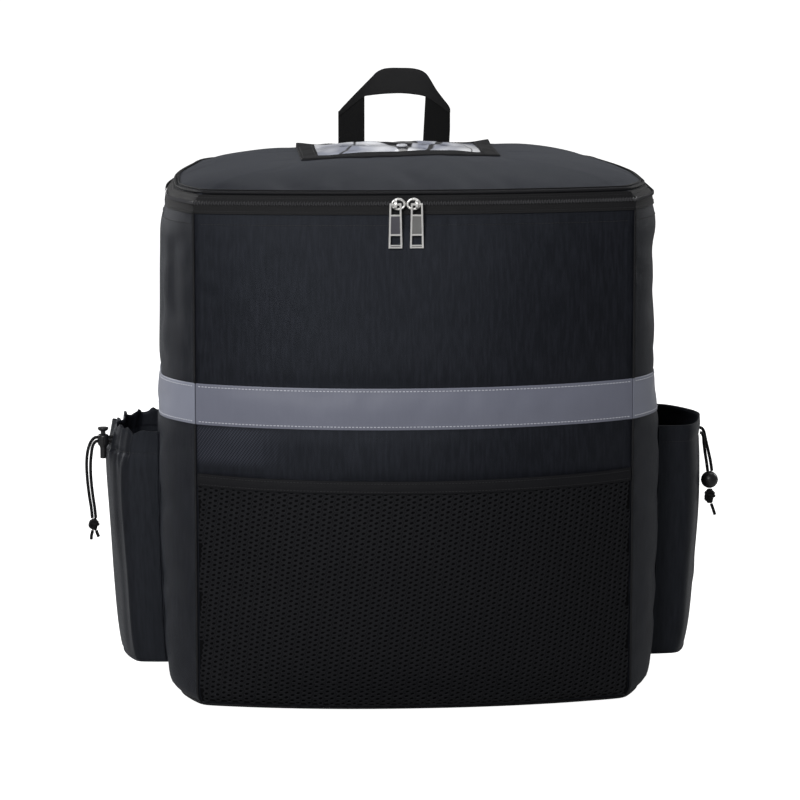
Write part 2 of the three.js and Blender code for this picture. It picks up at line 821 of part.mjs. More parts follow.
function handleSection(outer, inner, y) {
  const near = y;
  const far = y + webbingThickness;
  return [
    new THREE.Vector3(outer[0], near, outer[1]),
    new THREE.Vector3(inner[0], near, inner[1]),
    new THREE.Vector3(inner[0], far, inner[1]),
    new THREE.Vector3(outer[0], far, outer[1]),
  ];
}

function carryHandle() {
  const flatY = bodyDepth / 2 + touchGap;
  const clearY = bodyDepth / 2 + pipingProud + touchGap;
  const rows = handleStations.map((row) => ({
    outer: [row.outerX * handleHalfSpan, bodyHeight + row.outerZ * handleHeight],
    inner: [row.innerX * handleHalfSpan, bodyHeight + row.innerZ * handleHeight],
  }));
  const tail = (row, z) => handleSection([row.outer[0], z], [row.inner[0], z], flatY);
  const first = rows[0];
  const last = rows[rows.length - 1];
  const bendZ = bodyHeight - pipingWidth;
  const endZ = bodyHeight - handleTail;
  const sections = [
    tail(first, endZ),
    tail(first, bendZ),
    ...rows.map((row) => handleSection(row.outer, row.inner, clearY)),
    tail(last, bendZ),
    tail(last, endZ),
  ];
  return barThrough(sections, false);
}

addMesh("carry_handle", carryHandle(), materials.webbing);

// Identity window: a cloth frame, a clear film that stands up a little, and a press stud

function windowLoop(inset) {
  const halfWidth = windowWidth / 2 - inset;
  const halfLength = windowLength / 2 - inset;
  const corners = [[-1, -1], [1, -1], [1, 1], [-1, 1]];
  const points = [];
  corners.forEach((corner, i) => {
    const next = corners[(i + 1) % corners.length];
    for (let step = 0; step < windowSteps; step += 1) {
      const share = step / windowSteps;
      const x = windowCentreX + halfWidth * mix(corner[0], next[0], share);
      points.push(new THREE.Vector2(x, windowCentreY + halfLength * mix(corner[1], next[1], share)));
    }
  });
  return points;
}

function windowFrame() {
  const outer = windowLoop(0);
  const inner = windowLoop(windowBorder);
  const at = (point, lift) => new THREE.Vector3(point.x, point.y, lidTopAt(point.x, point.y) + lift);
  const top = touchGap + windowFrameThickness;
  const sections = outer.map((point, i) => [
    at(inner[i], touchGap), at(inner[i], top), at(point, top), at(point, touchGap),
  ]);
  return barThrough(sections, true);
}

function filmHeightAt(x, y) {
  const halfWidth = windowWidth / 2 - windowBorder;
  const halfLength = windowLength / 2 - windowBorder;
  const across = (x - windowCentreX) / halfWidth;
  const along = (y - windowCentreY) / halfLength;
  const dome = Math.max(0, 1 - across ** 2) * Math.max(0, 1 - along ** 4);
  return lidTopAt(x, y) + touchGap + windowFilmLift * dome;
}

function windowFilm() {
  const halfWidth = windowWidth / 2 - windowBorder - touchGap;
  const halfLength = windowLength / 2 - windowBorder - touchGap;
  const outer = [];
  const inner = [];
  for (let row = 0; row <= windowSteps; row += 1) {
    const y = windowCentreY + halfLength * (-1 + (2 * row) / windowSteps);
    const bottom = [];
    for (let column = 0; column <= windowSteps * 2; column += 1) {
      const x = windowCentreX + halfWidth * (-1 + column / windowSteps);
      bottom.push(new THREE.Vector3(x, y, filmHeightAt(x, y)));
    }
    inner.push(bottom);
    outer.push(bottom.map((point) => point.clone().setZ(point.z + windowFilmThickness)));
  }
  return wallBetween(outer, inner, false);
}

function windowStud() {
  const points = studProfile.map((row) => new THREE.Vector2(row.out * studRadius, row.up * studHeight));
  const dome = new THREE.LatheGeometry(points, turnedSides).rotateX(Math.PI / 2);
  const x = windowCentreX + studAcross;
  const y = windowCentreY + studBack;
  const heights = [-1, 0, 1].flatMap((i) => [-1, 0, 1].map((j) => [i, j])).map(
    ([i, j]) => filmHeightAt(x + i * studRadius, y + j * studRadius),
  );
  const seat = Math.max(...heights) + windowFilmThickness + touchGap;
  return dome.translate(x, y, seat);
}

addMesh("id_window_frame", windowFrame(), materials.trim);
addMesh("id_window_film", windowFilm(), materials.film);
addMesh("id_window_stud", windowStud(), materials.metal);

// Zip sliders and pulls. Each is drawn about the pull's hinge line, which runs along X at the origin.

const barReach = Math.hypot(pullBar, pullThickness) / 2 + bailClearance;
const frontAtZip = -bodyDepth / 2 - sectionAt(coilLow).front;
const sliderBackY = frontAtZip - coilSeat - coilThickness - touchGap;
const hingeY = sliderBackY - sliderThickness - barReach;

function zipSlider(towardsMiddle) {
  const outline = new THREE.Shape();
  outline.absellipse(towardsMiddle * bailFromMiddle, 0, sliderWidth / 2, sliderHeight / 2, 0, 2 * Math.PI);
  const plate = new THREE.ExtrudeGeometry(outline, {
    depth: sliderThickness,
    bevelEnabled: false,
    curveSegments: sliderSegments,
  }).rotateX(Math.PI / 2).translate(0, barReach + sliderThickness, 0);
  const outer = barReach + bailBar;
  const bail = new THREE.Shape();
  bail.moveTo(-barReach - touchGap, -bailHeight / 2);
  bail.lineTo(outer - bailBar, -bailHeight / 2);
  bail.lineTo(outer, -bailHeight / 2 + bailBar);
  bail.lineTo(outer, bailHeight / 2 - bailBar);
  bail.lineTo(outer - bailBar, bailHeight / 2);
  bail.lineTo(-barReach - touchGap, bailHeight / 2);
  const hole = new THREE.Path();
  const holeHalf = bailHeight / 2 - bailBar;
  hole.moveTo(-barReach, -holeHalf);
  hole.lineTo(-barReach, holeHalf);
  hole.lineTo(barReach, holeHalf);
  hole.lineTo(barReach, -holeHalf);
  bail.holes.push(hole);
  const loop = new THREE.ExtrudeGeometry(bail, { depth: bailWidth, bevelEnabled: false });
  loop.translate(0, 0, -bailWidth / 2).rotateX(Math.PI / 2).rotateZ(-Math.PI / 2);
  return geometryFrom(solidFrom(plate).add(solidFrom(loop)));
}

function zipPull() {
  const top = pullBar / 2;
  const bottom = top - pullLength;
  const outline = new THREE.Shape();
  outline.moveTo(-pullTopWidth / 2, top);
  outline.lineTo(-pullBottomWidth / 2, bottom + pullBar / 2);
  outline.lineTo(-pullBottomWidth / 2 + pullBar / 2, bottom);
  outline.lineTo(pullBottomWidth / 2 - pullBar / 2, bottom);
  outline.lineTo(pullBottomWidth / 2, bottom + pullBar / 2);
  outline.lineTo(pullTopWidth / 2, top);
  const opening = (halfWidth, low, high) => {
    const path = new THREE.Path();
    path.moveTo(-halfWidth, low);
    path.lineTo(-halfWidth, high);
    path.lineTo(halfWidth, high);
    path.lineTo(halfWidth, low);
    outline.holes.push(path);
  };
  const windowHalf = pullTopWidth / 2 - pullRail;
  opening(windowHalf, -pullBar / 2 - pullWindowLength, -pullBar / 2);
  const holeHalf = pullBottomWidth / 2 - pullRail;
  const holeLow = bottom + pullBar;
  opening(holeHalf, holeLow, holeLow + pullHoleLength);
  const plate = new THREE.ExtrudeGeometry(outline, { depth: pullThickness, bevelEnabled: false });
  plate.translate(0, 0, -pullThickness / 2).rotateX(Math.PI / 2);
  const recessHigh = -pullBar - pullWindowLength - pullRail / 2;
  const recessLow = holeLow + pullHoleLength + pullRail;
  const recessMiddle = (recessHigh + recessLow) / 2;
  const recessLength = recessHigh - recessLow;
  const recess = box(windowHalf * 2, pullRecess * 2, recessLength, 0, -pullThickness / 2, recessMiddle);
  return geometryFrom(solidFrom(plate).subtract(solidFrom(recess)));
}

for (const [name, side] of [["left", -1], ["right", 1]]) {
  const x = sliderMiddleX + side * (sliderPitch / 2 + bailFromMiddle);
  const slider = addMesh(`zip_slider_${name}`, zipSlider(-side), materials.metal);
  slider.position.set(x, hingeY, bodyHeight);
  const pull = addMesh(`zip_pull_${name}`, zipPull(), materials.metal);
  pull.position.set(x, hingeY, bodyHeight);
}

// Cords, knots, lock and bead

function cordAlong(points) {
  const route = new THREE.CatmullRomCurve3(points.map(([x, y, z]) => new THREE.Vector3(x, y, z)));
  const section = new THREE.Shape();
  section.absarc(0, 0, cordDiameter / 2, 0, 2 * Math.PI);
  return new THREE.ExtrudeGeometry(section, {
    steps: Math.max(fewestCordSteps, Math.round(route.getLength() / cordStep)),
    curveSegments: cordSides / 2,
    bevelEnabled: false,
    extrudePath: route,
  });
}

function turnedKnot(radius, length) {
  const points = knotProfile.map((row) => new THREE.Vector2(row.out * radius, (row.up - 1) * length));
  return new THREE.LatheGeometry(points, turnedSides).rotateX(Math.PI / 2);
}

leftInnerRoutes.forEach((points, i) => {
  addMesh(`drawcord_left_inner_${i + 1}`, cordAlong(points), materials.cord, cordPieces);
});
leftCordRoutes.forEach((points, i) => {
  addMesh(`drawcord_left_${i + 1}`, cordAlong(points), materials.cord, cordPieces);
});
leftTailRoutes.forEach((points, i) => {
  addMesh(`cord_tail_left_${i + 1}`, cordAlong(points), materials.cord, cordPieces);
});
rightCordRoutes.forEach((points, i) => {
  addMesh(`drawcord_right_${i + 1}`, cordAlong(points), materials.cord, cordPieces);
});
rightTailRoutes.forEach((points) => {
  addMesh("cord_tail_right", cordAlong(points), materials.cord, cordPieces);
});

const knotLeft = addMesh("cord_knot_left", turnedKnot(knotRadius, knotLength), materials.cord, cordPieces);
knotLeft.position.set(leftKnot.x, leftKnot.y, leftKnot.top);
const rightKnotShape = turnedKnot(rightKnot.radius, rightKnot.length);
const knotRight = addMesh("cord_knot_right", rightKnotShape, materials.cord, cordPieces);
knotRight.position.set(rightKnot.x, rightKnot.y, rightKnot.top);

const beadShape = new THREE.SphereGeometry(beadRadius, turnedSides, beadRings).rotateX(Math.PI / 2);
const beadMesh = addMesh("cord_bead", beadShape, materials.plastic, cordPieces);
beadMesh.position.set(bead.x, bead.y, bead.z);

// Cord lock: a barrel with a bore at its top, and a sprung plunger that slides down into the bore

function lockBarrel() {
  const waist = -lockLength * lockWaistShare;
  const shoulder = -lockLength * lockShoulderShare;
  const profile = [
    [0, -lockLength], [lockTailRadius, -lockLength], [lockTailRadius, shoulder],
    [lockRadius, waist], [lockRadius, -lockChamfer], [lockRadius - lockChamfer, 0],
    [lockBoreRadius, 0], [lockBoreRadius, -lockBoreDepth], [0, -lockBoreDepth],
  ];
  const points = profile.map(([out, up]) => new THREE.Vector2(out, up));
  return new THREE.LatheGeometry(points, turnedSides).rotateX(Math.PI / 2);
}

function lockPlunger() {
  const stem = lockBoreRadius - plungerClearance;
  const flangeLow = plungerTravel + touchGap;
  const stemLow = plungerTravel + touchGap - lockBoreDepth;
  const flangeHigh = flangeLow + plungerFlangeThickness;
  const profile = [
    [0, stemLow], [stem, stemLow], [stem, flangeLow], [plungerFlangeRadius * plungerFlangeWaist, flangeLow],
    [plungerFlangeRadius, flangeLow + plungerFlangeThickness / 2], [plungerFlangeRadius, flangeHigh],
    [0, flangeHigh],
  ];
  const points = profile.map(([out, up]) => new THREE.Vector2(out, up));
  return new THREE.LatheGeometry(points, turnedSides).rotateX(Math.PI / 2);
}

const barrel = addMesh("cord_lock_barrel", lockBarrel(), materials.plastic, cordPieces);
barrel.position.set(lockX, lockY, lockTopZ);
const plunger = addMesh("cord_lock_plunger", lockPlunger(), materials.plastic, cordPieces);
plunger.position.set(lockX, lockY, lockTopZ);

// Shoulder straps: a padded length, a ladder buckle and a length of webbing down to the base

const backFace = bodyDepth / 2 + touchGap;

function strapPoint(row, thickness, side) {
  const y = backFace + thickness / 2 + row.off * strapBulge;
  return new THREE.Vector3(side * row.across * seamHalfWidth, y, row.up * bodyHeight);
}

// Ring of points round a station of a strap, with its edges rounded when it is thick.
function strapSection(centre, across, along, width, thickness) {
  const out = new THREE.Vector3().crossVectors(across, along).normalize();
  const halfWidth = width / 2;
  const half = thickness / 2;
  const edge = halfWidth - half * strapEdgeRound;
  const flat = half * strapEdgeFlat;
  const corners = [
    [-halfWidth, flat], [-halfWidth, -flat], [-edge, -half], [edge, -half],
    [halfWidth, -flat], [halfWidth, flat], [edge, half], [-edge, half],
  ];
  return corners.map(([u, n]) => centre.clone().addScaledVector(across, -u).addScaledVector(out, n));
}

// A strap through stations that each give a centre, a width and a thickness. It is wide along the back of
// the bag, unless a station says which way.
function strapThrough(stations) {
  const sections = stations.map((station, i) => {
    const before = stations[Math.max(0, i - 1)].centre;
    const after = stations[Math.min(stations.length - 1, i + 1)].centre;
    const along = after.clone().sub(before).normalize();
    const level = new THREE.Vector3(-along.z, 0, along.x).normalize();
    const flat = station.across
      ? station.across.clone().addScaledVector(along, -station.across.dot(along)).normalize()
      : level;
    return strapSection(station.centre, flat, along, station.width, station.thickness);
  });
  return barThrough(sections, false);
}

function shoulderStrap(name, side) {
  const upperEnd = strapPoint(strapEnd, webbingThickness, side);
  const lowerEnd = strapPoint(webbingEnd, webbingThickness, side);
  const down = lowerEnd.clone().sub(upperEnd).normalize();
  const across = new THREE.Vector3(1, 0, 0).addScaledVector(down, -down.x).normalize();
  const out = new THREE.Vector3().crossVectors(across, down).normalize();
  const lean = (length, lift) => upperEnd.clone().addScaledVector(down, length).addScaledVector(out, lift);

  // Centre line of a webbing end that wraps one outer bar of the buckle, bar middle at a given length.
  const wrapLift = buckleThickness / 2 + touchGap + webbingThickness / 2;
  const wrapReach = buckleBar / 2 + touchGap + webbingThickness / 2;
  const wrapRound = (bar, turn, width) => {
    const beforeCorner = turn * (wrapReach - wrapCorner);
    const steps = [
      [-turn * strapTongueWrap, 1], [beforeCorner, 1], [turn * wrapReach, wrapCornerLift],
      [turn * wrapReach, -wrapCornerLift], [beforeCorner, -1], [-turn * strapTongueWrap, -1],
    ];
    return steps.map(([length, lift]) => ({
      centre: lean(bar + length, lift * wrapLift),
      width,
      thickness: webbingThickness,
      across,
    }));
  };

  const upperBar = -buckleLength / 2 + buckleBar / 2;
  const lowerBar = buckleLength / 2 - buckleBar / 2;
  const padded = strapStations.map((row) => ({
    centre: strapPoint(row, row.thick * strapThickness, side),
    width: row.width * strapWidth,
    thickness: row.thick * strapThickness,
  }));
  const tongue = wrapRound(upperBar, 1, strapWebbingWidth);
  const strap = strapThrough([...padded, ...tongue]);
  addMesh(`shoulder_strap_${name}`, strap, materials.cloth);

  const wrap = wrapRound(lowerBar, -1, strapWebbingWidth).reverse();
  const sewnFrom = lowerEnd.clone().lerp(wrap[wrap.length - 1].centre, sewnShare).setY(lowerEnd.y);
  const sewn = [sewnFrom, lowerEnd].map((centre) => ({
    centre,
    width: strapWebbingWidth,
    thickness: webbingThickness,
  }));
  addMesh(`strap_webbing_${name}`, strapThrough([...wrap, ...sewn]), materials.webbing);

  const outline = new THREE.Shape();
  outline.moveTo(-buckleWidth / 2, -buckleLength / 2);
  outline.lineTo(buckleWidth / 2, -buckleLength / 2);
  outline.lineTo(buckleWidth / 2, buckleLength / 2);
  outline.lineTo(-buckleWidth / 2, buckleLength / 2);
  const slotHalf = strapWebbingWidth / 2 + buckleSlotRoom;
  for (const slot of [-1, 1]) {
    const low = slot < 0 ? -buckleLength / 2 + buckleBar : buckleBar / 2;
    const high = slot < 0 ? -buckleBar / 2 : buckleLength / 2 - buckleBar;
    const hole = new THREE.Path();
    hole.moveTo(-slotHalf, low);
    hole.lineTo(-slotHalf, high);
    hole.lineTo(slotHalf, high);
    hole.lineTo(slotHalf, low);
    outline.holes.push(hole);
  }
  const frame = new THREE.ExtrudeGeometry(outline, { depth: buckleThickness, bevelEnabled: false });
  frame.translate(0, 0, -buckleThickness / 2);
  const buckle = addMesh(`strap_buckle_${name}`, frame, materials.plastic);
  buckle.position.copy(upperEnd);
  buckle.setRotationFromMatrix(new THREE.Matrix4().makeBasis(across, down, out));
}

shoulderStrap("right", 1);
shoulderStrap("left", -1);

// The origin is the middle of the base, measured on the bag without its cords
bag.remove(cordPieces);
const size = new THREE.Box3().setFromObject(bag, true);
bag.add(cordPieces);
const middle = size.getCenter(new THREE.Vector3());
bag.position.set(-middle.x, -middle.y, -size.min.z);

export default bag;
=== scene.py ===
# Insulated delivery backpack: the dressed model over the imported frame.
import math

import bpy
import numpy as np
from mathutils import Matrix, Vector


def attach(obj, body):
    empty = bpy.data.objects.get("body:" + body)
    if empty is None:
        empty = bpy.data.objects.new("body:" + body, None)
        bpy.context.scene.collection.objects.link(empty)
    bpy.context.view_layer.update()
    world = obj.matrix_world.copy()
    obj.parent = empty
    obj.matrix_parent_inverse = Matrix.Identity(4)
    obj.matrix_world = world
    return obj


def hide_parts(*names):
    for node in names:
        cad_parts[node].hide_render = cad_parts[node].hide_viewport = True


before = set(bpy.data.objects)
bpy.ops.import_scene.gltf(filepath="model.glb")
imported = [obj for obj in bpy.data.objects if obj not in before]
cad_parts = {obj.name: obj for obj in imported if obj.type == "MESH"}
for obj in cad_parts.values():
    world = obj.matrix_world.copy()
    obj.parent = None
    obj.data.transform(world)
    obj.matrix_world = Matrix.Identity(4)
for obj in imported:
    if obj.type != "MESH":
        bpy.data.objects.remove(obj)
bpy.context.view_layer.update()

# Shapes are worked out in millimetres about the middle of the body, then moved to the frame.
FRAME_SHIFT = np.array([0.2924, -1.5077, 0.0])
MILLIMETRE = 0.001


def place(points):
    return (np.asarray(points, float) + FRAME_SHIFT) * MILLIMETRE


def bell(x, width):
    return np.exp(-(x / width) ** 2)


def unit(vectors):
    return vectors / np.linalg.norm(vectors, axis=-1, keepdims=True)


def run_lengths(points):
    """Length along a path up to each of its points."""
    return np.concatenate([[0], np.cumsum(np.linalg.norm(np.diff(points, axis=0), axis=-1))])


def followed(path, lengths, at):
    """Points of a path at given lengths along it."""
    return np.stack([np.interp(at, lengths, column) for column in path.T], -1)


def sideways(path):
    """Level directions square to a path, to its right."""
    return unit(np.cross(np.gradient(path, axis=0), [0, 0, 1.0]))


# Body form

BODY_HEIGHT = 460.0
HALF_DEPTH = 135.0
SEAM_HALF_WIDTH = 196.0
SIDE_BULGE = 31.0
FRONT_BULGE = 42.0
BASE_INSET = 12.0
FRONT_WIDTH = 2 * SEAM_HALF_WIDTH
MIDDLE = BODY_HEIGHT / 2
SIDE_CURVE_REACH = 58.0
SIDE_BACK_REACH = 128.0
SIDE_BACK_IN = 21.0
BACK_CORNER = 42.0
FRONT_POWER = 2.2

# Share of the height, of the front and side bulge, and of the base inset
BODY_SECTIONS = np.array([
    [0.0, 0.52, 0.45, 1.0], [0.007, 0.6, 0.58, 0.45], [0.018, 0.68, 0.68, 0.15], [0.033, 0.73, 0.76, 0.0],
    [0.065, 0.78, 0.84, 0.0], [0.12, 0.85, 0.9, 0.0], [0.22, 0.93, 0.95, 0.0], [0.4, 1.0, 1.0, 0.0],
    [0.6, 0.98, 1.0, 0.0], [0.8, 0.76, 0.98, 0.0], [0.92, 0.55, 0.92, 0.0], [1.0, 0.44, 0.68, 0.0],
]).T

SIDE_CURVE_LENGTH = 66.0
SIDE_BACK_LENGTH = 130.0
CORNER_LENGTH = BACK_CORNER * math.pi / 2


def smooth_curve(xs, ys, x):
    """Monotone cubic through the table, so that the form has no kinks between its rows."""
    xs, ys, x = (np.asarray(v, float) for v in (xs, ys, x))
    step = np.diff(xs)
    slope = np.diff(ys) / step
    tangent = np.zeros_like(ys)
    tangent[0], tangent[-1] = slope[0], slope[-1]
    for i in range(1, len(xs) - 1):
        if slope[i - 1] * slope[i] > 0:
            before = 2 * step[i] + step[i - 1]
            after = step[i] + 2 * step[i - 1]
            tangent[i] = (before + after) / (before / slope[i - 1] + after / slope[i])
    x = np.clip(x, xs[0], xs[-1])
    i = np.clip(np.searchsorted(xs, x, side="right") - 1, 0, len(xs) - 2)
    t = (x - xs[i]) / step[i]
    return ((2 * t ** 3 - 3 * t ** 2 + 1) * ys[i] + (t ** 3 - 2 * t ** 2 + t) * step[i] * tangent[i]
            + (3 * t ** 2 - 2 * t ** 3) * ys[i + 1] + (t ** 3 - t ** 2) * step[i] * tangent[i + 1])


def section(z):
    """Bulge of the front and of the sides, and inset of the base, at a height."""
    share = np.asarray(z, float) / BODY_HEIGHT
    return [smooth_curve(BODY_SECTIONS[0], row, share) * most
            for row, most in zip(BODY_SECTIONS[1:], (FRONT_BULGE, SIDE_BULGE, BASE_INSET))]


def side_flat(inset):
    return 2 * (HALF_DEPTH - inset) - SIDE_CURVE_REACH - SIDE_BACK_REACH - BACK_CORNER


def side_length(inset):
    return SIDE_CURVE_LENGTH + side_flat(inset) + SIDE_BACK_LENGTH + CORNER_LENGTH


def panel_base(panel, q, z):
    """Point of a panel before its relief. q runs from 0 to 1 to the right, seen from outside."""
    q, z = np.broadcast_arrays(np.asarray(q, float), np.asarray(z, float))
    front, side, inset = section(z)
    seam = SEAM_HALF_WIDTH - inset
    front_y = -HALF_DEPTH + inset
    back_y = HALF_DEPTH - inset
    half = seam + side
    if panel == "front":
        share = 2 * q - 1
        x = seam * share
        y = front_y - front * (1 - np.abs(share) ** FRONT_POWER)
    elif panel == "back":
        x = (half - SIDE_BACK_IN - BACK_CORNER) * (1 - 2 * q)
        y = back_y
    else:
        along = (q if panel == "right" else 1 - q) * side_length(inset)
        curve = np.clip(along / SIDE_CURVE_LENGTH, 0, 1)
        straight = np.clip(along - SIDE_CURVE_LENGTH, 0, None)
        flat = side_flat(inset)
        back = np.clip((straight - flat) / SIDE_BACK_LENGTH, 0, 1)
        turn = np.clip((straight - flat - SIDE_BACK_LENGTH) / BACK_CORNER, 0, math.pi / 2)
        x = seam + side * np.sin(curve * math.pi / 2) - SIDE_BACK_IN * (1 - np.cos(back * math.pi / 2))
        x = x - BACK_CORNER * (1 - np.cos(turn))
        y = front_y + SIDE_CURVE_REACH * curve + np.clip(straight, 0, flat)
        y = y + SIDE_BACK_REACH * back + BACK_CORNER * np.sin(turn)
        if panel == "left":
            x = -x
    return np.stack([x, y, z + 0 * x], -1)


def panel_width(panel, z):
    _, side, inset = section(z)
    if panel == "front":
        return 2 * (SEAM_HALF_WIDTH - inset)
    if panel == "back":
        return 2 * (SEAM_HALF_WIDTH - inset + side - SIDE_BACK_IN - BACK_CORNER)
    return side_length(inset)


def panel_normal(panel, q, z):
    dq, dz = 0.004, 1.5
    q, z = np.broadcast_arrays(np.asarray(q, float), np.asarray(z, float))
    low, high = np.clip(q - dq, 0, 1), np.clip(q + dq, 0, 1)
    across = panel_base(panel, high, z) - panel_base(panel, low, z)
    below, above = np.clip(z - dz, 0, BODY_HEIGHT), np.clip(z + dz, 0, BODY_HEIGHT)
    return unit(np.cross(across, panel_base(panel, q, above) - panel_base(panel, q, below)))


def wave_noise(x, y, seed, scale):
    """Smooth seeded undulation between about -1 and 1, from a handful of sine waves."""
    rng = np.random.default_rng(seed)
    total = 0.0
    for _ in range(7):
        angle, phase = rng.uniform(0, 2 * math.pi, 2)
        k = 2 * math.pi / (scale * rng.uniform(0.6, 1.6))
        total = total + np.sin(k * (np.cos(angle) * x + np.sin(angle) * y) + phase)
    return total / 3.2


PANELS = ["front", "right", "back", "left"]
BAND_LOW, BAND_HIGH = 261.0, 298.0
BAND_STITCHES = (BAND_LOW + 2.7, BAND_HIGH - 2.7)
POCKET_TOP = 241.0

# Cloth simulation: the grid's step, how much larger the cloth is cut, the most that each panel may swell, how far the
# side panels hang in above their pockets, and the tables that a run fills in
SWELL_STEP = 9.0
CLOTH_SLACK = 0.012
SWELL_CAP = {"front": 3.2, "right": 2.2, "back": 1.6, "left": 2.4, "lid": 1.8}
SIDE_SLACK = {"left": 2.4, "right": 7.6}
SWELL = {}

# Where handle, straps and webbing are sewn to the back: place across and up, and reach across and up
BACK_SEWN = ((41.0, 450.0, 14.0, 18.0), (53.0, 416.0, 22.0, 16.0), (137.0, 30.0, 12.0, 16.0))


def spline_value(table, column, row):
    """Smooth value of a table of rows and columns at fractional places in it."""
    total = 0.0
    limit = np.array(table.shape) - 1
    base_row = np.clip(np.floor(row), 0, limit[0]).astype(int)
    base_column = np.clip(np.floor(column), 0, limit[1]).astype(int)

    def weights(t):
        return ((1 - t) ** 3 / 6, (3 * t ** 3 - 6 * t ** 2 + 4) / 6, (-3 * t ** 3 + 3 * t ** 2 + 3 * t + 1) / 6,
                t ** 3 / 6)

    for i, down in enumerate(weights(row - base_row)):
        for j, along in enumerate(weights(column - base_column)):
            r = np.clip(base_row + i - 1, 0, limit[0])
            c = np.clip(base_column + j - 1, 0, limit[1])
            total = total + down * along * table[r, c]
    return total


def sewn(panel, q, z):
    """1 where the cloth of a panel is sewn down, and 0 well away from there."""
    width = panel_width(panel, z)
    x = q * width
    near = bell(BODY_HEIGHT - z, 12.0) + bell(z, 10.0)
    if panel in ("front", "right"):
        near = near + bell(x, 7.0)
    if panel in ("front", "left"):
        near = near + bell(width - x, 7.0)
    if panel != "back":
        for level in BAND_STITCHES:
            near = near + 0.75 * bell(z - level, 5.0)
    if panel in ("left", "right"):
        y = panel_base(panel, q, z)[..., 1]
        away = np.maximum(np.abs(y) - 60.0, 26.0 - z)
        near = near + bell(away, 8.0) * (z < POCKET_TOP + 2.0)
    if panel == "back":
        across = panel_base(panel, q, z)[..., 0]
        for sewn_x, sewn_z, reach_x, reach_z in BACK_SEWN:
            away = np.maximum(np.abs(np.abs(across) - sewn_x) / reach_x, np.abs(z - sewn_z) / reach_z)
            near = near + np.exp(-np.clip(away - 0.6, 0, None) ** 2 * 3.0)
    return np.clip(near, 0, 1)


def settle(points, faces, hold, slack, frames=20):
    """Where a cloth's points come to rest under the push of the padding behind it. It is held where hold is above a
    half, and slack is how much larger than its form it is cut."""
    mesh = bpy.data.meshes.new("settling")
    mesh.from_pydata((points.reshape(-1, 3) * MILLIMETRE).tolist(), [], faces.tolist())
    obj = link("settling", mesh)
    group = obj.vertex_groups.new(name="held")
    group.add(np.nonzero(hold.ravel() > 0.5)[0].tolist(), 1.0, "REPLACE")
    cloth = obj.modifiers.new("cloth", "CLOTH")
    values = cloth.settings
    values.quality = 6
    values.mass = 0.3
    values.tension_stiffness = values.compression_stiffness = 15.0
    values.shear_stiffness = 5.0
    values.bending_stiffness = 0.4
    values.vertex_group_mass = "held"
    values.use_pressure = True
    values.uniform_pressure_force = 4.0
    values.shrink_min = -slack
    values.effector_weights.gravity = 0.0
    cloth.point_cache.frame_start = 1
    cloth.point_cache.frame_end = frames
    for frame_number in range(1, frames + 1):
        bpy.context.scene.frame_set(frame_number)
    seen = obj.evaluated_get(bpy.context.evaluated_depsgraph_get())
    rested = np.empty(points.size)
    seen.data.vertices.foreach_get("co", rested)
    bpy.data.objects.remove(obj)
    bpy.data.meshes.remove(mesh)
    bpy.context.scene.frame_set(1)
    return rested.reshape(points.shape) / MILLIMETRE


def settle_body():
    """Runs the cloth of the body once, and keeps how far each panel's cloth stands off its form."""
    z = spaced(0.0, BODY_HEIGHT, SWELL_STEP)
    parts, holds, normals, counts = [], [], [], []
    for panel in PANELS:
        columns = int(round(panel_width(panel, MIDDLE) / SWELL_STEP))
        q, level = np.meshgrid(np.linspace(0, 1, columns + 1)[:-1], z)
        parts.append(panel_base(panel, q, level))
        holds.append(sewn(panel, q, level))
        normals.append(panel_normal(panel, q, level))
        counts.append(columns)
    points, hold, normal = (np.concatenate(v, 1) for v in (parts, holds, normals))
    hold[:2], hold[-2:] = 1, 1
    faces = grid_quads(points.shape[0], points.shape[1], True)
    off = np.sum((settle(points, faces, hold, CLOTH_SLACK) - points) * normal, -1)
    off = np.concatenate([off, off[:, :1]], 1)
    start = 0
    for panel, columns in zip(PANELS, counts):
        cap = SWELL_CAP[panel]
        SWELL[panel] = cap * np.tanh(off[:, start:start + columns + 1] / cap)
        start += columns


def settled(panel, q, z):
    if panel not in SWELL:
        return 0.0
    table = SWELL[panel]
    return spline_value(table, q * (table.shape[1] - 1), z / BODY_HEIGHT * (table.shape[0] - 1))


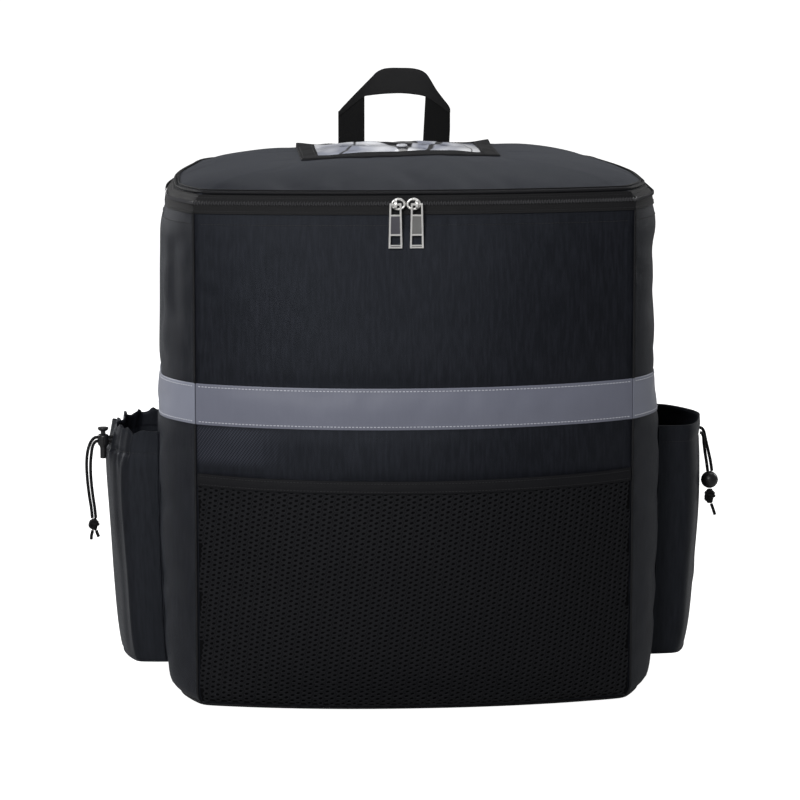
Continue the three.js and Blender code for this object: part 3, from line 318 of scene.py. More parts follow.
def panel_relief(panel, q, z):
    """How far the padded cloth stands off the plain form, outwards, in millimetres."""
    q, z = np.broadcast_arrays(np.asarray(q, float), np.asarray(z, float))
    width = panel_width(panel, z)
    seed = {"front": 3, "right": 5, "back": 7, "left": 11}[panel]
    x = q * width
    relief = 0.7 * wave_noise(x, z, seed, 150.0) * (1 - 0.8 * sewn(panel, q, z)) + settled(panel, q, z)
    if panel == "front":
        fold = 1.3 * bell(x - 233.0, 3.2) - 1.5 * bell(x - 226.5, 3.4)
        relief = relief + fold * bell(z - 437.0, 11.0)
    if panel in SIDE_SLACK:
        from_seam = x if panel == "right" else width - x
        loose = 1 - bell(np.clip(from_seam - 6.0, 0, None), 38.0)
        loose = loose * np.clip((width - from_seam) / 70.0, 0, 1) ** 2
        rise = np.clip((z - POCKET_TOP - 2.0) / 45.0, 0, 1)
        fall = np.clip((BODY_HEIGHT - z) / 60.0, 0, 1)
        relief = relief - SIDE_SLACK[panel] * loose * rise ** 2 * (3 - 2 * rise) * fall ** 2 * (3 - 2 * fall)
    if panel == "left":
        fold = 2.2 * bell(width - x - 44.0 - 4.0 * np.sin(z / 37.0), 9.0)
        dip = 1.9 * bell(width - x - 24.0 - 3.0 * np.sin(z / 29.0), 8.0)
        relief = relief + (fold - dip) * np.exp(-((z - 378.0) / 48.0) ** 4)
    for i, distance in enumerate([width - x, x] if panel == "left" else [x, width - x]):
        pucker = bell(distance, 22.0) * (1 - bell(distance, 4.0))
        relief = relief * (1 - bell(distance, 30.0)) - 0.7 * bell(distance, 9.0)
        relief = relief + 0.55 * pucker * wave_noise(distance * 0.5, z, seed + 20 + i, 26.0)
    return relief * (1 - bell(BODY_HEIGHT - z, 25.0)) * (1 - bell(z, 20.0))


def panel_point(panel, q, z, off=0.0):
    base = panel_base(panel, q, z)
    lift = panel_relief(panel, q, z) + off
    return base + panel_normal(panel, q, z) * np.asarray(lift)[..., None]


# Mesh making

def make_object(name, points, faces, material, uv=None, smooth_angle=40, body="bag", node=None, slot=None):
    """A visible piece: points in millimetres, cloth coordinates, body, CAD node that it replaces, and slot, which is
    not used.
    """
    mesh = bpy.data.meshes.new(name)
    mesh.from_pydata(place(points).tolist(), [], [list(map(int, f)) for f in faces])
    mesh.materials.append(material)
    if uv is not None:
        layer = mesh.uv_layers.new(name="cloth")
        index = np.empty(len(mesh.loops), np.int32)
        mesh.loops.foreach_get("vertex_index", index)
        layer.data.foreach_set("uv", np.asarray(uv, np.float32)[index].ravel())
    mesh.polygons.foreach_set("use_smooth", [True] * len(mesh.polygons))
    mesh.set_sharp_from_angle(angle=math.radians(smooth_angle))
    mesh.update()
    obj = link(name, mesh)
    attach(obj, body)
    if node:
        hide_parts(*([node] if isinstance(node, str) else node))
    return obj


def grid_quads(rows, columns, closed=False, start=0, flip=False):
    r = np.arange(rows - 1)[:, None]
    c = np.arange(columns if closed else columns - 1)[None, :]
    a = r * columns + c
    b = r * columns + (c + 1) % columns
    quads = np.stack([a, b, b + columns, a + columns], -1).reshape(-1, 4) + start
    return quads[:, ::-1] if flip else quads


def grid_normals(grid):
    n = np.cross(np.gradient(grid, axis=1), np.gradient(grid, axis=0))
    return n / np.maximum(np.linalg.norm(n, axis=-1, keepdims=True), 1e-9)


def grid_uv(grid):
    """Cloth coordinates in metres: along the middle row, and up the middle column."""
    along, up = run_lengths(grid[len(grid) // 2]), run_lengths(grid[:, grid.shape[1] // 2])
    return np.stack(np.meshgrid(along, up), -1) * MILLIMETRE


class Pile:
    """Several grids and solids gathered into one mesh."""

    def __init__(self):
        self.points, self.faces, self.uvs, self.count = [], [], [], 0

    def add(self, points, faces, uv=None):
        points = np.asarray(points, float).reshape(-1, 3)
        self.points.append(points)
        self.faces.extend([[int(i) + self.count for i in face] for face in faces])
        self.uvs.append(np.zeros((len(points), 2)) if uv is None else np.asarray(uv).reshape(-1, 2))
        self.count += len(points)

    def wall(self, outer, thickness, closed=False, uv=None, inner=None):
        """A sheet of cloth with a thickness. Seen from outside, columns run right and rows run up."""
        outer = np.asarray(outer, float)
        rows, columns = outer.shape[:2]
        if inner is None:
            inner = outer - grid_normals(outer) * thickness
        uv = grid_uv(outer) if uv is None else uv
        size = rows * columns
        faces = grid_quads(rows, columns, closed).tolist() + grid_quads(rows, columns, closed, size, True).tolist()
        span = columns if closed else columns - 1
        for c in range(span):
            d = (c + 1) % columns
            faces.append([d, c, size + c, size + d])
            top = (rows - 1) * columns
            faces.append([top + c, top + d, size + top + d, size + top + c])
        if not closed:
            for r in range(rows - 1):
                a, b = r * columns, (r + 1) * columns
                faces.append([a, b, size + b, size + a])
                a, b = a + columns - 1, b + columns - 1
                faces.append([b, a, size + a, size + b])
        self.add(np.concatenate([outer.reshape(-1, 3), inner.reshape(-1, 3)]), faces,
                 np.concatenate([uv.reshape(-1, 2)] * 2))

    def tube(self, path, radius, sides=8, closed=False, flat=1.0, up=None, caps=True, radii=None):
        """A tube along a path. flat squashes it along the direction up."""
        path = np.asarray(path, float)
        count = len(path)
        tangent = unit(np.roll(path, -1, 0) - np.roll(path, 1, 0) if closed else np.gradient(path, axis=0))
        normal = np.zeros_like(path)
        if up is None:
            seed = np.array([0.0, 0.0, 1.0]) if abs(tangent[0][2]) < 0.9 else np.array([1.0, 0.0, 0.0])
            n = seed - tangent[0] * (seed @ tangent[0])
            for i in range(count):
                n = unit(n - tangent[i] * (n @ tangent[i]))
                normal[i] = n
        else:
            up = np.broadcast_to(np.asarray(up, float), path.shape)
            normal = unit(up - tangent * np.sum(up * tangent, 1, keepdims=True))
        side = np.cross(tangent, normal)
        angle = np.arange(sides) / sides * 2 * math.pi
        radii = np.full(count, radius) if radii is None else np.asarray(radii)
        ring = (np.cos(angle)[None, :, None] * side[:, None] + np.sin(angle)[None, :, None] * flat * normal[:, None])
        grid = path[:, None] + ring * radii[:, None, None]
        faces = grid_quads(count, sides, True).tolist()
        if closed:
            last = (count - 1) * sides
            for s in range(sides):
                t = (s + 1) % sides
                faces.append([last + s, last + t, t, s])
        elif caps:
            faces.append(list(range(sides))[::-1])
            faces.append([(count - 1) * sides + s for s in range(sides)])
        length = run_lengths(path) * MILLIMETRE
        uv = np.stack(np.meshgrid(angle * radius * MILLIMETRE, length), -1)
        self.add(grid, faces, uv)

    def finish(self, name, material, **options):
        return make_object(name, np.concatenate(self.points), self.faces, material,
                           uv=np.concatenate(self.uvs), **options)


def spaced(low, high, step):
    """Even places from low to high, about a step apart."""
    return np.linspace(low, high, max(2, int(round((high - low) / step)) + 1))


def panel_grid(panel, q0, q1, z_values, off, step=5.0):
    columns = max(2, int(round(abs(q1 - q0) * panel_width(panel, MIDDLE) / step)) + 1)
    q, z = np.meshgrid(np.linspace(q0, q1, columns), z_values)
    return panel_point(panel, q, z, off(q, z) if callable(off) else off)


# Materials

def material(name, base, roughness, build=None, metallic=0.0, sheen=0.0, sheen_tint=(1, 1, 1), specular=0.5,
             gloss_tint=(1, 1, 1)):
    mat = bpy.data.materials.new(name)
    mat.use_nodes = True
    shader = mat.node_tree.nodes["Principled BSDF"]
    for key, value in (("Base Color", (*base, 1)), ("Roughness", roughness), ("Metallic", metallic),
                       ("Sheen Weight", sheen), ("Sheen Tint", (*sheen_tint, 1)), ("Sheen Roughness", 0.5),
                       ("Specular IOR Level", specular), ("Specular Tint", (*gloss_tint, 1))):
        shader.inputs[key].default_value = value
    if build:
        build(mat.node_tree, shader)
    return mat


def node(tree, kind, settings=None, **inputs):
    """A new node. An input is named, or numbered with an underscore, and gets a value, a socket or a Wire."""
    made = tree.nodes.new(kind)
    for key, value in (settings or {}).items():
        setattr(made, key, value)
    for key, value in inputs.items():
        socket = made.inputs[int(key[1:])] if key[0] == "_" else made.inputs[key]
        value = getattr(value, "socket", value)
        if isinstance(value, bpy.types.NodeSocket):
            tree.links.new(value, socket)
        else:
            socket.default_value = value
    return made


class Wire:
    """A number in a node tree. A formula with it adds the maths nodes that work it out."""

    def __init__(self, tree, socket):
        self.tree, self.socket = tree, socket

    def maths(self, operation, a, b=0.0):
        return Wire(self.tree, node(self.tree, "ShaderNodeMath", {"operation": operation}, _0=a, _1=b).outputs[0])

    def __add__(self, other):
        return self.maths("ADD", self, other)

    def __sub__(self, other):
        return self.maths("SUBTRACT", self, other)

    def __mul__(self, other):
        return self.maths("MULTIPLY", self, other)

    def sine(self):
        return self.maths("SINE", self)

    def or_more(self, least):
        return self.maths("MAXIMUM", self, least)

    def step(self, off, on):
        """0 at off and 1 at on, with a soft step between them."""
        return Wire(self.tree, node(self.tree, "ShaderNodeMapRange", {"interpolation_type": "SMOOTHSTEP"},
                                    Value=self, _1=off, _2=on).outputs[0])


def noise(tree, where, scale, detail, **options):
    return Wire(tree, node(tree, "ShaderNodeTexNoise", Vector=where, Scale=scale, Detail=detail, **options).outputs[0])


def mixed(tree, share, low, high, clamp=True):
    """A colour between two, each three numbers or a socket."""
    low, high = ((*c, 1) if isinstance(c, tuple) else c for c in (low, high))
    return node(tree, "ShaderNodeMix", {"data_type": "RGBA", "clamp_factor": clamp}, _0=share, _6=low,
                _7=high).outputs[2]


def cloth_coordinates(tree):
    uv = node(tree, "ShaderNodeUVMap", {"uv_map": "cloth"}).outputs[0]
    return uv, *(Wire(tree, s) for s in node(tree, "ShaderNodeSeparateXYZ", _0=uv).outputs[:2])


def surface(tree, shader, colour, height, strength, distance, roughness=None):
    bump = node(tree, "ShaderNodeBump", Strength=strength, Distance=distance, Height=height)
    tree.links.new(colour, shader.inputs["Base Color"])
    tree.links.new(bump.outputs[0], shader.inputs["Normal"])
    if roughness:
        tree.links.new(roughness.socket, shader.inputs["Roughness"])


COARSE_PITCH = 2.9e-3


def weave(base, light, pitch=0.9e-3, depth=0.5, drift=0.35, roughness=0.62, streaks=0.3, painted_glint=None):
    """Woven cloth: two crossing sets of threads from the cloth coordinates, with streaks and a slow change of tone.
    The last argument gives the left, right, low and high edge, in metres, of a patch where a coarser pattern is painted
    brighter into the colour: a painted glint of the weave catching the light."""
    def build(tree, shader):
        uv, x, y = cloth_coordinates(tree)
        k = 2 * math.pi / pitch
        cross = (x * k).sine() * (y * k).sine()
        fuzz = noise(tree, uv, 1400.0, 2.0)
        slow = noise(tree, uv, 14.0, 3.0, Roughness=0.6)
        stretched = node(tree, "ShaderNodeMapping", Vector=uv, Scale=(340.0, 40.0, 1.0)).outputs[0]
        streak = noise(tree, stretched, 1.0, 3.0, Roughness=0.65)
        tone = slow * drift + (streak - 0.5) * streaks + cross * 0.12 + 0.15
        # Painted glint: inside the patch the coarse pattern raises the colour's tone, standing for light caught by the
        # weave.
        if painted_glint:
            left, right, low, high = painted_glint
            inside = x.step(right, left) * y.step(low, low + 0.012) * y.step(high, high - 0.006)
            inside = inside * x.maths("GREATER_THAN", x, 0.001)
            k = 2 * math.pi / COARSE_PITCH
            coarse = ((x + y * 0.35) * k).sine() * (y * (k * 1.1)).sine()
            tone = (tone + inside * (coarse * 5.2 + 2.2)).or_more(0.0)
        surface(tree, shader, mixed(tree, tone, base, light, False), cross * 0.5 + fuzz * 0.6, depth, 0.00022,
                slow * 0.16 + (roughness - 0.08))
    return build


def grain(base, light, scale, depth, roughness=0.5):
    """Moulded or cast surface: a fine grain from the object's own coordinates."""
    def build(tree, shader):
        where = node(tree, "ShaderNodeTexCoord").outputs["Object"]
        slow = noise(tree, where, scale / 12, 2.0)
        surface(tree, shader, mixed(tree, slow, base, light), noise(tree, where, scale, 3.0), depth, 0.0002,
                slow * 0.12 + (roughness - 0.06))
    return build


def film_marks(tree, shader):
    """Curved dark and pale streaks of what the buckled clear sheet mirrors, in metres across the sheet."""
    uv, x, back = cloth_coordinates(tree)
    stretched = node(tree, "ShaderNodeMapping", Vector=uv, Scale=(26.0, 14.0, 1.0), Rotation=(0, 0, 0.3)).outputs[0]
    swirl = noise(tree, stretched, 1.0, 2.0, Distortion=0.8)
    across = x + (swirl - 0.5) * 0.022

    def streak(at, lean, half):
        away = across.maths("ABSOLUTE", across - (back * lean + at))
        return across.maths("SUBTRACT", half, away).step(-0.0011, 0.0011)

    dark = streak(-0.0035, -0.05, (back * 0.2 + 0.0105).or_more(0.003))
    for at, lean, half in ((0.0265, 0.3, 0.0026), (-0.053, 0.35, 0.0014), (0.058, -0.25, 0.0007)):
        dark = dark.or_more(streak(at, lean, half))
    share = node(tree, "ShaderNodeMapRange", Value=swirl, _1=0.35, _2=0.62).outputs[0]
    pale = mixed(tree, share, (0.3, 0.32, 0.4), (0.92, 0.93, 0.97))
    surface(tree, shader, mixed(tree, dark, pale, (0.012, 0.012, 0.015)), swirl, 0.5, 0.0008)


CLOTH_TINT = (0.78, 0.86, 1.0)
SHEEN_TINT = (0.75, 0.83, 1.0)
# The body cloth carries a painted glint: a patch on the front panel near its left seam, just under the band, painted
# brighter with a coarse pattern.
CLOTH = material("body_cloth", (0.008, 0.0085, 0.01), 0.6,
                 weave((0.0033, 0.0036, 0.0054), (0.0088, 0.0094, 0.0132), roughness=0.5, streaks=3.6,
                       painted_glint=(0.035, 0.098, 0.222, 0.262)), sheen=0.02, sheen_tint=SHEEN_TINT, specular=0.2,
                 gloss_tint=CLOTH_TINT)
LID_CLOTH = material("lid_cloth", (0.009, 0.0095, 0.0115), 0.6,
                     weave((0.0052, 0.0056, 0.008), (0.0118, 0.0125, 0.0174), depth=0.4, roughness=0.5, streaks=0.9),
                     sheen=0.03, sheen_tint=(0.7, 0.8, 1.0), specular=0.27, gloss_tint=(0.72, 0.82, 1.0))
PIPING = material("piping_cloth", (0.006, 0.006, 0.007), 0.6,
                  weave((0.003, 0.0031, 0.0042), (0.0085, 0.0087, 0.011), depth=0.6, roughness=0.55), specular=0.2)
BAND = material("reflective_band", (0.13, 0.135, 0.16), 0.45,
                weave((0.114, 0.12, 0.157), (0.155, 0.163, 0.206), pitch=0.5e-3, depth=0.15, drift=0.6, roughness=0.45),
                specular=0.4)
NET = material("net", (0.005, 0.005, 0.006), 0.7,
               weave((0.0038, 0.004, 0.0052), (0.009, 0.0094, 0.012), pitch=0.4e-3, depth=0.4, roughness=0.6),
               specular=0.16)
WEBBING = material("webbing", (0.012, 0.012, 0.013), 0.7,
                   weave((0.0055, 0.0055, 0.006), (0.017, 0.017, 0.018), pitch=1.4e-3, depth=0.9, roughness=0.6),
                   specular=0.25)
# Painted shade: the same webbing as the handle's top length, made darker for the legs, which face forwards while the
# top length faces up to the light.
LEG_WEBBING_PAINTED_SHADE = material("webbing_legs_painted_shade", (0.008, 0.008, 0.009), 0.7,
                       weave((0.0025, 0.0025, 0.0028), (0.008, 0.008, 0.0085), pitch=1.4e-3, depth=0.9, roughness=0.62),
                       specular=0.14)
THREAD = material("light_thread", (0.5, 0.51, 0.56), 0.6, grain((0.42, 0.43, 0.47), (0.6, 0.61, 0.66), 900, 0.2))
DARK_THREAD = material("dark_thread", (0.012, 0.012, 0.013), 0.6,
                       grain((0.009, 0.009, 0.01), (0.022, 0.022, 0.024), 900, 0.2), specular=0.3)
TAPE = material("zip_tape", (0.006, 0.006, 0.007), 0.7,
                weave((0.004, 0.004, 0.0045), (0.009, 0.009, 0.0105), pitch=0.7e-3, depth=0.5), specular=0.2)
COIL = material("zip_teeth", (0.014, 0.014, 0.016), 0.35,
                grain((0.03, 0.03, 0.033), (0.075, 0.075, 0.08), 700, 0.1, roughness=0.3), specular=0.5)
METAL = material("plated_metal", (0.8, 0.79, 0.78), 0.3,
                 grain((0.78, 0.77, 0.75), (0.95, 0.94, 0.92), 500, 0.08, roughness=0.34), metallic=0.8, specular=0.8)
PLASTIC = material("moulded_plastic", (0.008, 0.008, 0.009), 0.4,
                   grain((0.006, 0.006, 0.007), (0.013, 0.013, 0.014), 600, 0.25, roughness=0.38), specular=0.4)
CORD = material("cord_braid", (0.005, 0.005, 0.006), 0.75,
                weave((0.0035, 0.0035, 0.004), (0.01, 0.01, 0.011), pitch=0.9e-3, depth=1.0, roughness=0.65),
                specular=0.2)
# Painted shade: a near-black, barely glossy sheet just under the front pocket's net, standing for the shade inside the
# pocket in front of the black front panel.
POCKET_SHADE = material("pocket_painted_shade", (0.003, 0.003, 0.0035), 0.85,
                        weave((0.0015, 0.0015, 0.002), (0.004, 0.004, 0.0045), pitch=0.8e-3, depth=0.3), specular=0.05)
POCKET_CLOTH = material("pocket_cloth", (0.007, 0.007, 0.008), 0.62, weave((0.0033, 0.0035, 0.0049),
                                                                           (0.009, 0.0095, 0.0126), depth=0.5,
                                                                           drift=0.5, roughness=0.48, streaks=2.8),
                        sheen=0.02, sheen_tint=SHEEN_TINT, specular=0.24, gloss_tint=CLOTH_TINT)
STRAP_CLOTH = material("strap_cloth", (0.007, 0.007, 0.008), 0.7,
                       weave((0.005, 0.005, 0.006), (0.012, 0.012, 0.0135), pitch=1.6e-3, depth=1.0), sheen=0.05,
                       specular=0.22)
HEM = material("binding_cloth", (0.006, 0.006, 0.007), 0.66,
               weave((0.0034, 0.0035, 0.0046), (0.008, 0.0084, 0.0106), pitch=0.6e-3, depth=0.5, roughness=0.55),
               specular=0.15)
# Painted light: the same reflective tape as the front band, made lighter on the side panels to stand for the stronger
# light falling there.
BAND_SIDE_PAINTED_LIGHT = material("reflective_band_side_painted_light", (0.2, 0.21, 0.24), 0.42, weave((0.175, 0.185, 0.232), (0.23, 0.243, 0.3),
                                                                            pitch=0.5e-3, depth=0.15, drift=0.6,
                                                                            roughness=0.42), specular=0.4)
STUD = material("snap_metal", (0.55, 0.56, 0.6), 0.35,
                grain((0.5, 0.51, 0.55), (0.62, 0.63, 0.67), 500, 0.05, roughness=0.35))
# Painted shadow: the sunk floor of each zip slider is the slider's metal made near black, for the shade in the recess.
SLIDER_PAINTED_SHADOW = material("slider_shadow", (0.02, 0.02, 0.022), 0.4,
                      grain((0.012, 0.012, 0.013), (0.03, 0.03, 0.032), 700, 0.2, roughness=0.42), metallic=0.4,
                      specular=0.3)
PULL_LEFT = material("pull_panel_dark", (0.06, 0.058, 0.068), 0.45,
                     grain((0.05, 0.048, 0.058), (0.07, 0.068, 0.08), 700, 0.15, roughness=0.45), specular=0.3)
PULL_RIGHT = material("pull_panel_grey", (0.1, 0.1, 0.098), 0.45,
                      grain((0.11, 0.11, 0.108), (0.155, 0.155, 0.15), 700, 0.15, roughness=0.42), specular=0.4)
FILM = material("clear_window_sheet", (0.6, 0.62, 0.7), 0.12, film_marks, specular=0.7)

# Camera and light

EYE_HEIGHT = 250.0
PIXEL = 0.895


def link(name, data):
    obj = bpy.data.objects.new(name, data)
    bpy.context.scene.collection.objects.link(obj)
    return obj


def look(obj, spot, target):
    obj.location = Vector(spot)
    obj.rotation_euler = (Vector(target) - obj.location).to_track_quat("-Z", "Y").to_euler()


def camera():
    """Stands off the body as the photo does. PIXEL is millimetres to a pixel at the front face."""
    azimuth, elevation, distance = math.radians(-4.0), math.radians(10.0), 3600.0
    back = np.array([math.sin(azimuth) * math.cos(elevation), -math.cos(azimuth) * math.cos(elevation),
                     math.sin(elevation)])
    middle = np.array([0.0, 0.0, EYE_HEIGHT])
    data = bpy.data.cameras.new("camera")
    data.sensor_width = 36.0
    data.lens = (distance - HALF_DEPTH) / PIXEL / 800 * data.sensor_width
    data.clip_end = 30.0
    obj = link("camera", data)
    look(obj, place(middle + back * distance), place(middle + np.array([-4.5 * PIXEL, 0.0, 8.0 * PIXEL])))
    bpy.context.scene.camera = obj


def area_light(name, spot, target, size, power):
    data = bpy.data.lights.new(name, "AREA")
    data.shape = "RECTANGLE"
    data.size, data.size_y = size
    data.energy = power
    look(link(name, data), spot, target)


# How brightly the white surroundings light the object. The camera itself sees them as full white.
AMBIENT = 0.24


def camera_rays(tree):
    return Wire(tree, node(tree, "ShaderNodeLightPath").outputs["Is Camera Ray"])


def studio():
    world = bpy.data.worlds.new("studio")
    bpy.context.scene.world = world
    world.use_nodes = True
    backdrop = world.node_tree.nodes["Background"]
    backdrop.inputs[0].default_value = (1, 1, 1, 1)
    strength = camera_rays(world.node_tree) * (1.0 - AMBIENT) + AMBIENT
    world.node_tree.links.new(strength.socket, backdrop.inputs[1])
    area_light("left_side", (-1.9, 1.3, 1.2), (-0.2, 0, 0.36), (0.5, 1.0), 30)
    area_light("front_left", (-0.6, -1.6, 1.2), (-0.03, -0.1, 0.32), (0.6, 0.9), 26)
    area_light("right_side", (1.9, 1.3, 1.2), (0.2, 0, 0.36), (0.5, 1.0), 13)
    area_light("top", (0.5, 0.9, 2.3), (0, 0, 0.45), (1.8, 1.0), 13)
    mesh = bpy.data.meshes.new("floor")
    mesh.from_pydata([(14.0 * x, 14.0 * y, 0) for x, y in ((-1, -1), (1, -1), (1, 1), (-1, 1))], [], [(0, 1, 2, 3)])
    floor = link("floor", mesh)
    paper = material("floor_paper", (0.5, 0.5, 0.5), 0.9, specular=0.0)
    shader = paper.node_tree.nodes["Principled BSDF"]
    shader.inputs["Emission Color"].default_value = (1, 1, 1, 1)
    paper.node_tree.links.new(camera_rays(paper.node_tree).socket, shader.inputs["Emission Strength"])
    mesh.materials.append(paper)
    floor.location.z = -0.0004
    bpy.context.scene.view_settings.view_transform = "Standard"


camera()
studio()

# Cords

CORD_RADIUS = 1.5
CORD_ROUTES = {
    "drawcord_left_1": [
        [-270.1, -20, 229.2], [-272, -20, 229.2], [-274.5, -20, 229.2], [-279.5, -20, 229.2], [-285.3, -20, 229.2],
        [-287.5, -20, 228.6], [-291, -20.2, 224.5], [-293.8, -20.5, 216], [-294.9, -20.8, 204],
        [-294.4, -21, 190], [-292.9, -21, 175], [-291.2, -21, 163], [-290.4, -21, 153.6],
    ],
    "drawcord_left_2": [
        [-270.9, -20, 225.6], [-272.4, -20, 225.6], [-275, -20, 225.6], [-279.5, -20, 225.6], [-285.3, -20, 225.6],
        [-286.6, -20, 225], [-288.9, -20.2, 221.6], [-290.5, -20.5, 213], [-291.3, -20.8, 203],
        [-291, -21, 190], [-289.6, -21, 175], [-288, -21, 163], [-287.2, -21, 153.6],
    ],
    "cord_tail_left_1": [[-290.4, -21, 141.9], [-290.5, -21, 140.4], [-291.3, -21, 137.5], [-291.6, -21, 133.5]],
    "cord_tail_left_2": [[-286.6, -21, 141.9], [-286.4, -21, 140.4], [-285.6, -21, 138.3], [-284.7, -21, 136]],
    "drawcord_right_1": [
        [275.95, -8, 229], [277.5, -8, 228.8], [279.6, -8, 226], [281.3, -8.2, 219],
        [283.9, -8.8, 208], [286.2, -9.5, 197.5], [287.6, -10, 188.2],
    ],
    "drawcord_right_2": [
        [275.6, -12.4, 225], [277, -12.4, 224.8], [278.6, -12.3, 222], [279.4, -12, 215],
        [280.7, -11.4, 206], [282.3, -10.7, 197], [283.6, -10, 188.2],
    ],
    "cord_tail_right": [[287.4, -10, 156.8], [289, -10, 152.5], [291, -10, 146.5]],
}


def curve_through(points, count):
    """Centripetal spline through the points, at even steps of length."""
    p = np.asarray(points, float)
    p = np.concatenate([[2 * p[0] - p[1]], p, [2 * p[-1] - p[-2]]])
    fine = []
    for i in range(1, len(p) - 2):
        p0, p1, p2, p3 = p[i - 1:i + 3]
        t = np.cumsum([0] + [max(np.linalg.norm(b - a), 1e-9) ** 0.5 for a, b in ((p0, p1), (p1, p2), (p2, p3))])
        s = np.linspace(t[1], t[2], 24)[:, None]
        a1 = (t[1] - s) / (t[1] - t[0]) * p0 + (s - t[0]) / (t[1] - t[0]) * p1
        a2 = (t[2] - s) / (t[2] - t[1]) * p1 + (s - t[1]) / (t[2] - t[1]) * p2
        a3 = (t[3] - s) / (t[3] - t[2]) * p2 + (s - t[2]) / (t[3] - t[2]) * p3
        b1 = (t[2] - s) / (t[2] - t[0]) * a1 + (s - t[0]) / (t[2] - t[0]) * a2
        b2 = (t[3] - s) / (t[3] - t[1]) * a2 + (s - t[1]) / (t[3] - t[1]) * a3
        fine.append((t[2] - s) / (t[2] - t[1]) * b1 + (s - t[1]) / (t[2] - t[1]) * b2)
    fine = np.concatenate(fine)
    keep = np.concatenate([[True], np.linalg.norm(np.diff(fine, axis=0), axis=1) > 1e-6])
    fine = fine[keep]
    length = run_lengths(fine)
    want = np.linspace(0, length[-1], count)
    return followed(fine, length, want), length[-1]


def cord_piece(name, nodes):
    path, length = curve_through(CORD_ROUTES[name], max(16, len(CORD_ROUTES[name]) * 7))
    pile = Pile()
    pile.tube(path, CORD_RADIUS, 10)
    return pile.finish(name.replace("draw", "") + "_braid", CORD, node=nodes, slot="cord"), path, length


def declare_cord(obj, path, length, *with_pieces):
    length * MILLIMETRE


def knot(name, centre, radius, length, turns=2):
    """An overhand knot drawn tight: a short fat winding of the cord round a core."""
    pile = Pile()
    t = np.linspace(0, 1, 26 * turns)
    angle = t * turns * 2 * math.pi
    swell = np.sin(np.clip(t, 0.02, 0.98) * math.pi) ** 0.5
    x = centre[0] + np.cos(angle) * (radius - CORD_RADIUS) * swell
    y = centre[1] + np.sin(angle) * (radius - CORD_RADIUS) * swell * 0.85
    z = centre[2] + length * (0.5 - t) * 0.82
    pile.tube(np.stack([x, y, z], -1), CORD_RADIUS * 1.05, 9)
    core = np.array([[centre[0], centre[1], centre[2] + length * s] for s in np.linspace(0.46, -0.46, 9)])
    pile.tube(core, radius * 0.62, 10, radii=radius * (0.28 + 0.42 * np.sin(np.linspace(0.12, 0.88, 9) * math.pi)))
    a = np.linspace(0.15 * math.pi, 1.15 * math.pi, 16)
    lean = [radius * 0.72 * np.cos(a), np.full_like(a, -radius * 0.55), length * 0.36 * np.sin(a)]
    pile.tube(np.stack(lean, -1) + np.array(centre), CORD_RADIUS, 8)
    return pile.finish(name + "_tied", CORD, node=name, slot="cord")


def turned(profile, centre, sides=40):
    """A turned solid about a vertical axis. profile is (radius, height) from the bottom axis to the top axis."""
    profile = np.asarray(profile, float)
    angle = np.arange(sides) / sides * 2 * math.pi
    rings = np.stack([profile[:, 0, None] * np.cos(angle), profile[:, 0, None] * np.sin(angle),
                      profile[:, 1, None] + 0 * angle], -1) + np.asarray(centre, float)
    return rings.reshape(-1, 3), grid_quads(len(profile), sides, True).tolist()


def turned_about_y(profile, centre, sides=20):
    """The same about an axis that points at the front, from the front end of the profile to its back end."""
    points, faces = turned(np.asarray(profile, float)[::-1], (0, 0, 0), sides)
    return points[:, [0, 2, 1]] * [1, -1, 1] + np.asarray(centre, float), faces


def rounded_profile(corners, radius=0.5, steps=4):
    """Profile with each inner corner rounded by a small arc."""
    corners = np.asarray(corners, float)
    out = [corners[0]]
    for i in range(1, len(corners) - 1):
        a, b, c = corners[i - 1], corners[i], corners[i + 1]
        la, lc = np.linalg.norm(a - b), np.linalg.norm(c - b)
        reach = min(radius, la * 0.45, lc * 0.45)
        p, r = b + (a - b) / la * reach, b + (c - b) / lc * reach
        for s in np.linspace(0, 1, steps + 1):
            out.append((1 - s) ** 2 * p + 2 * s * (1 - s) * b + s ** 2 * r)
    out.append(corners[-1])
    return np.array(out)


LOCK_SPOT = (-279.4, -20, 0)
BEAD_SPOT = np.array([285.4, -10, 180])
BEAD_RADIUS = 8.0


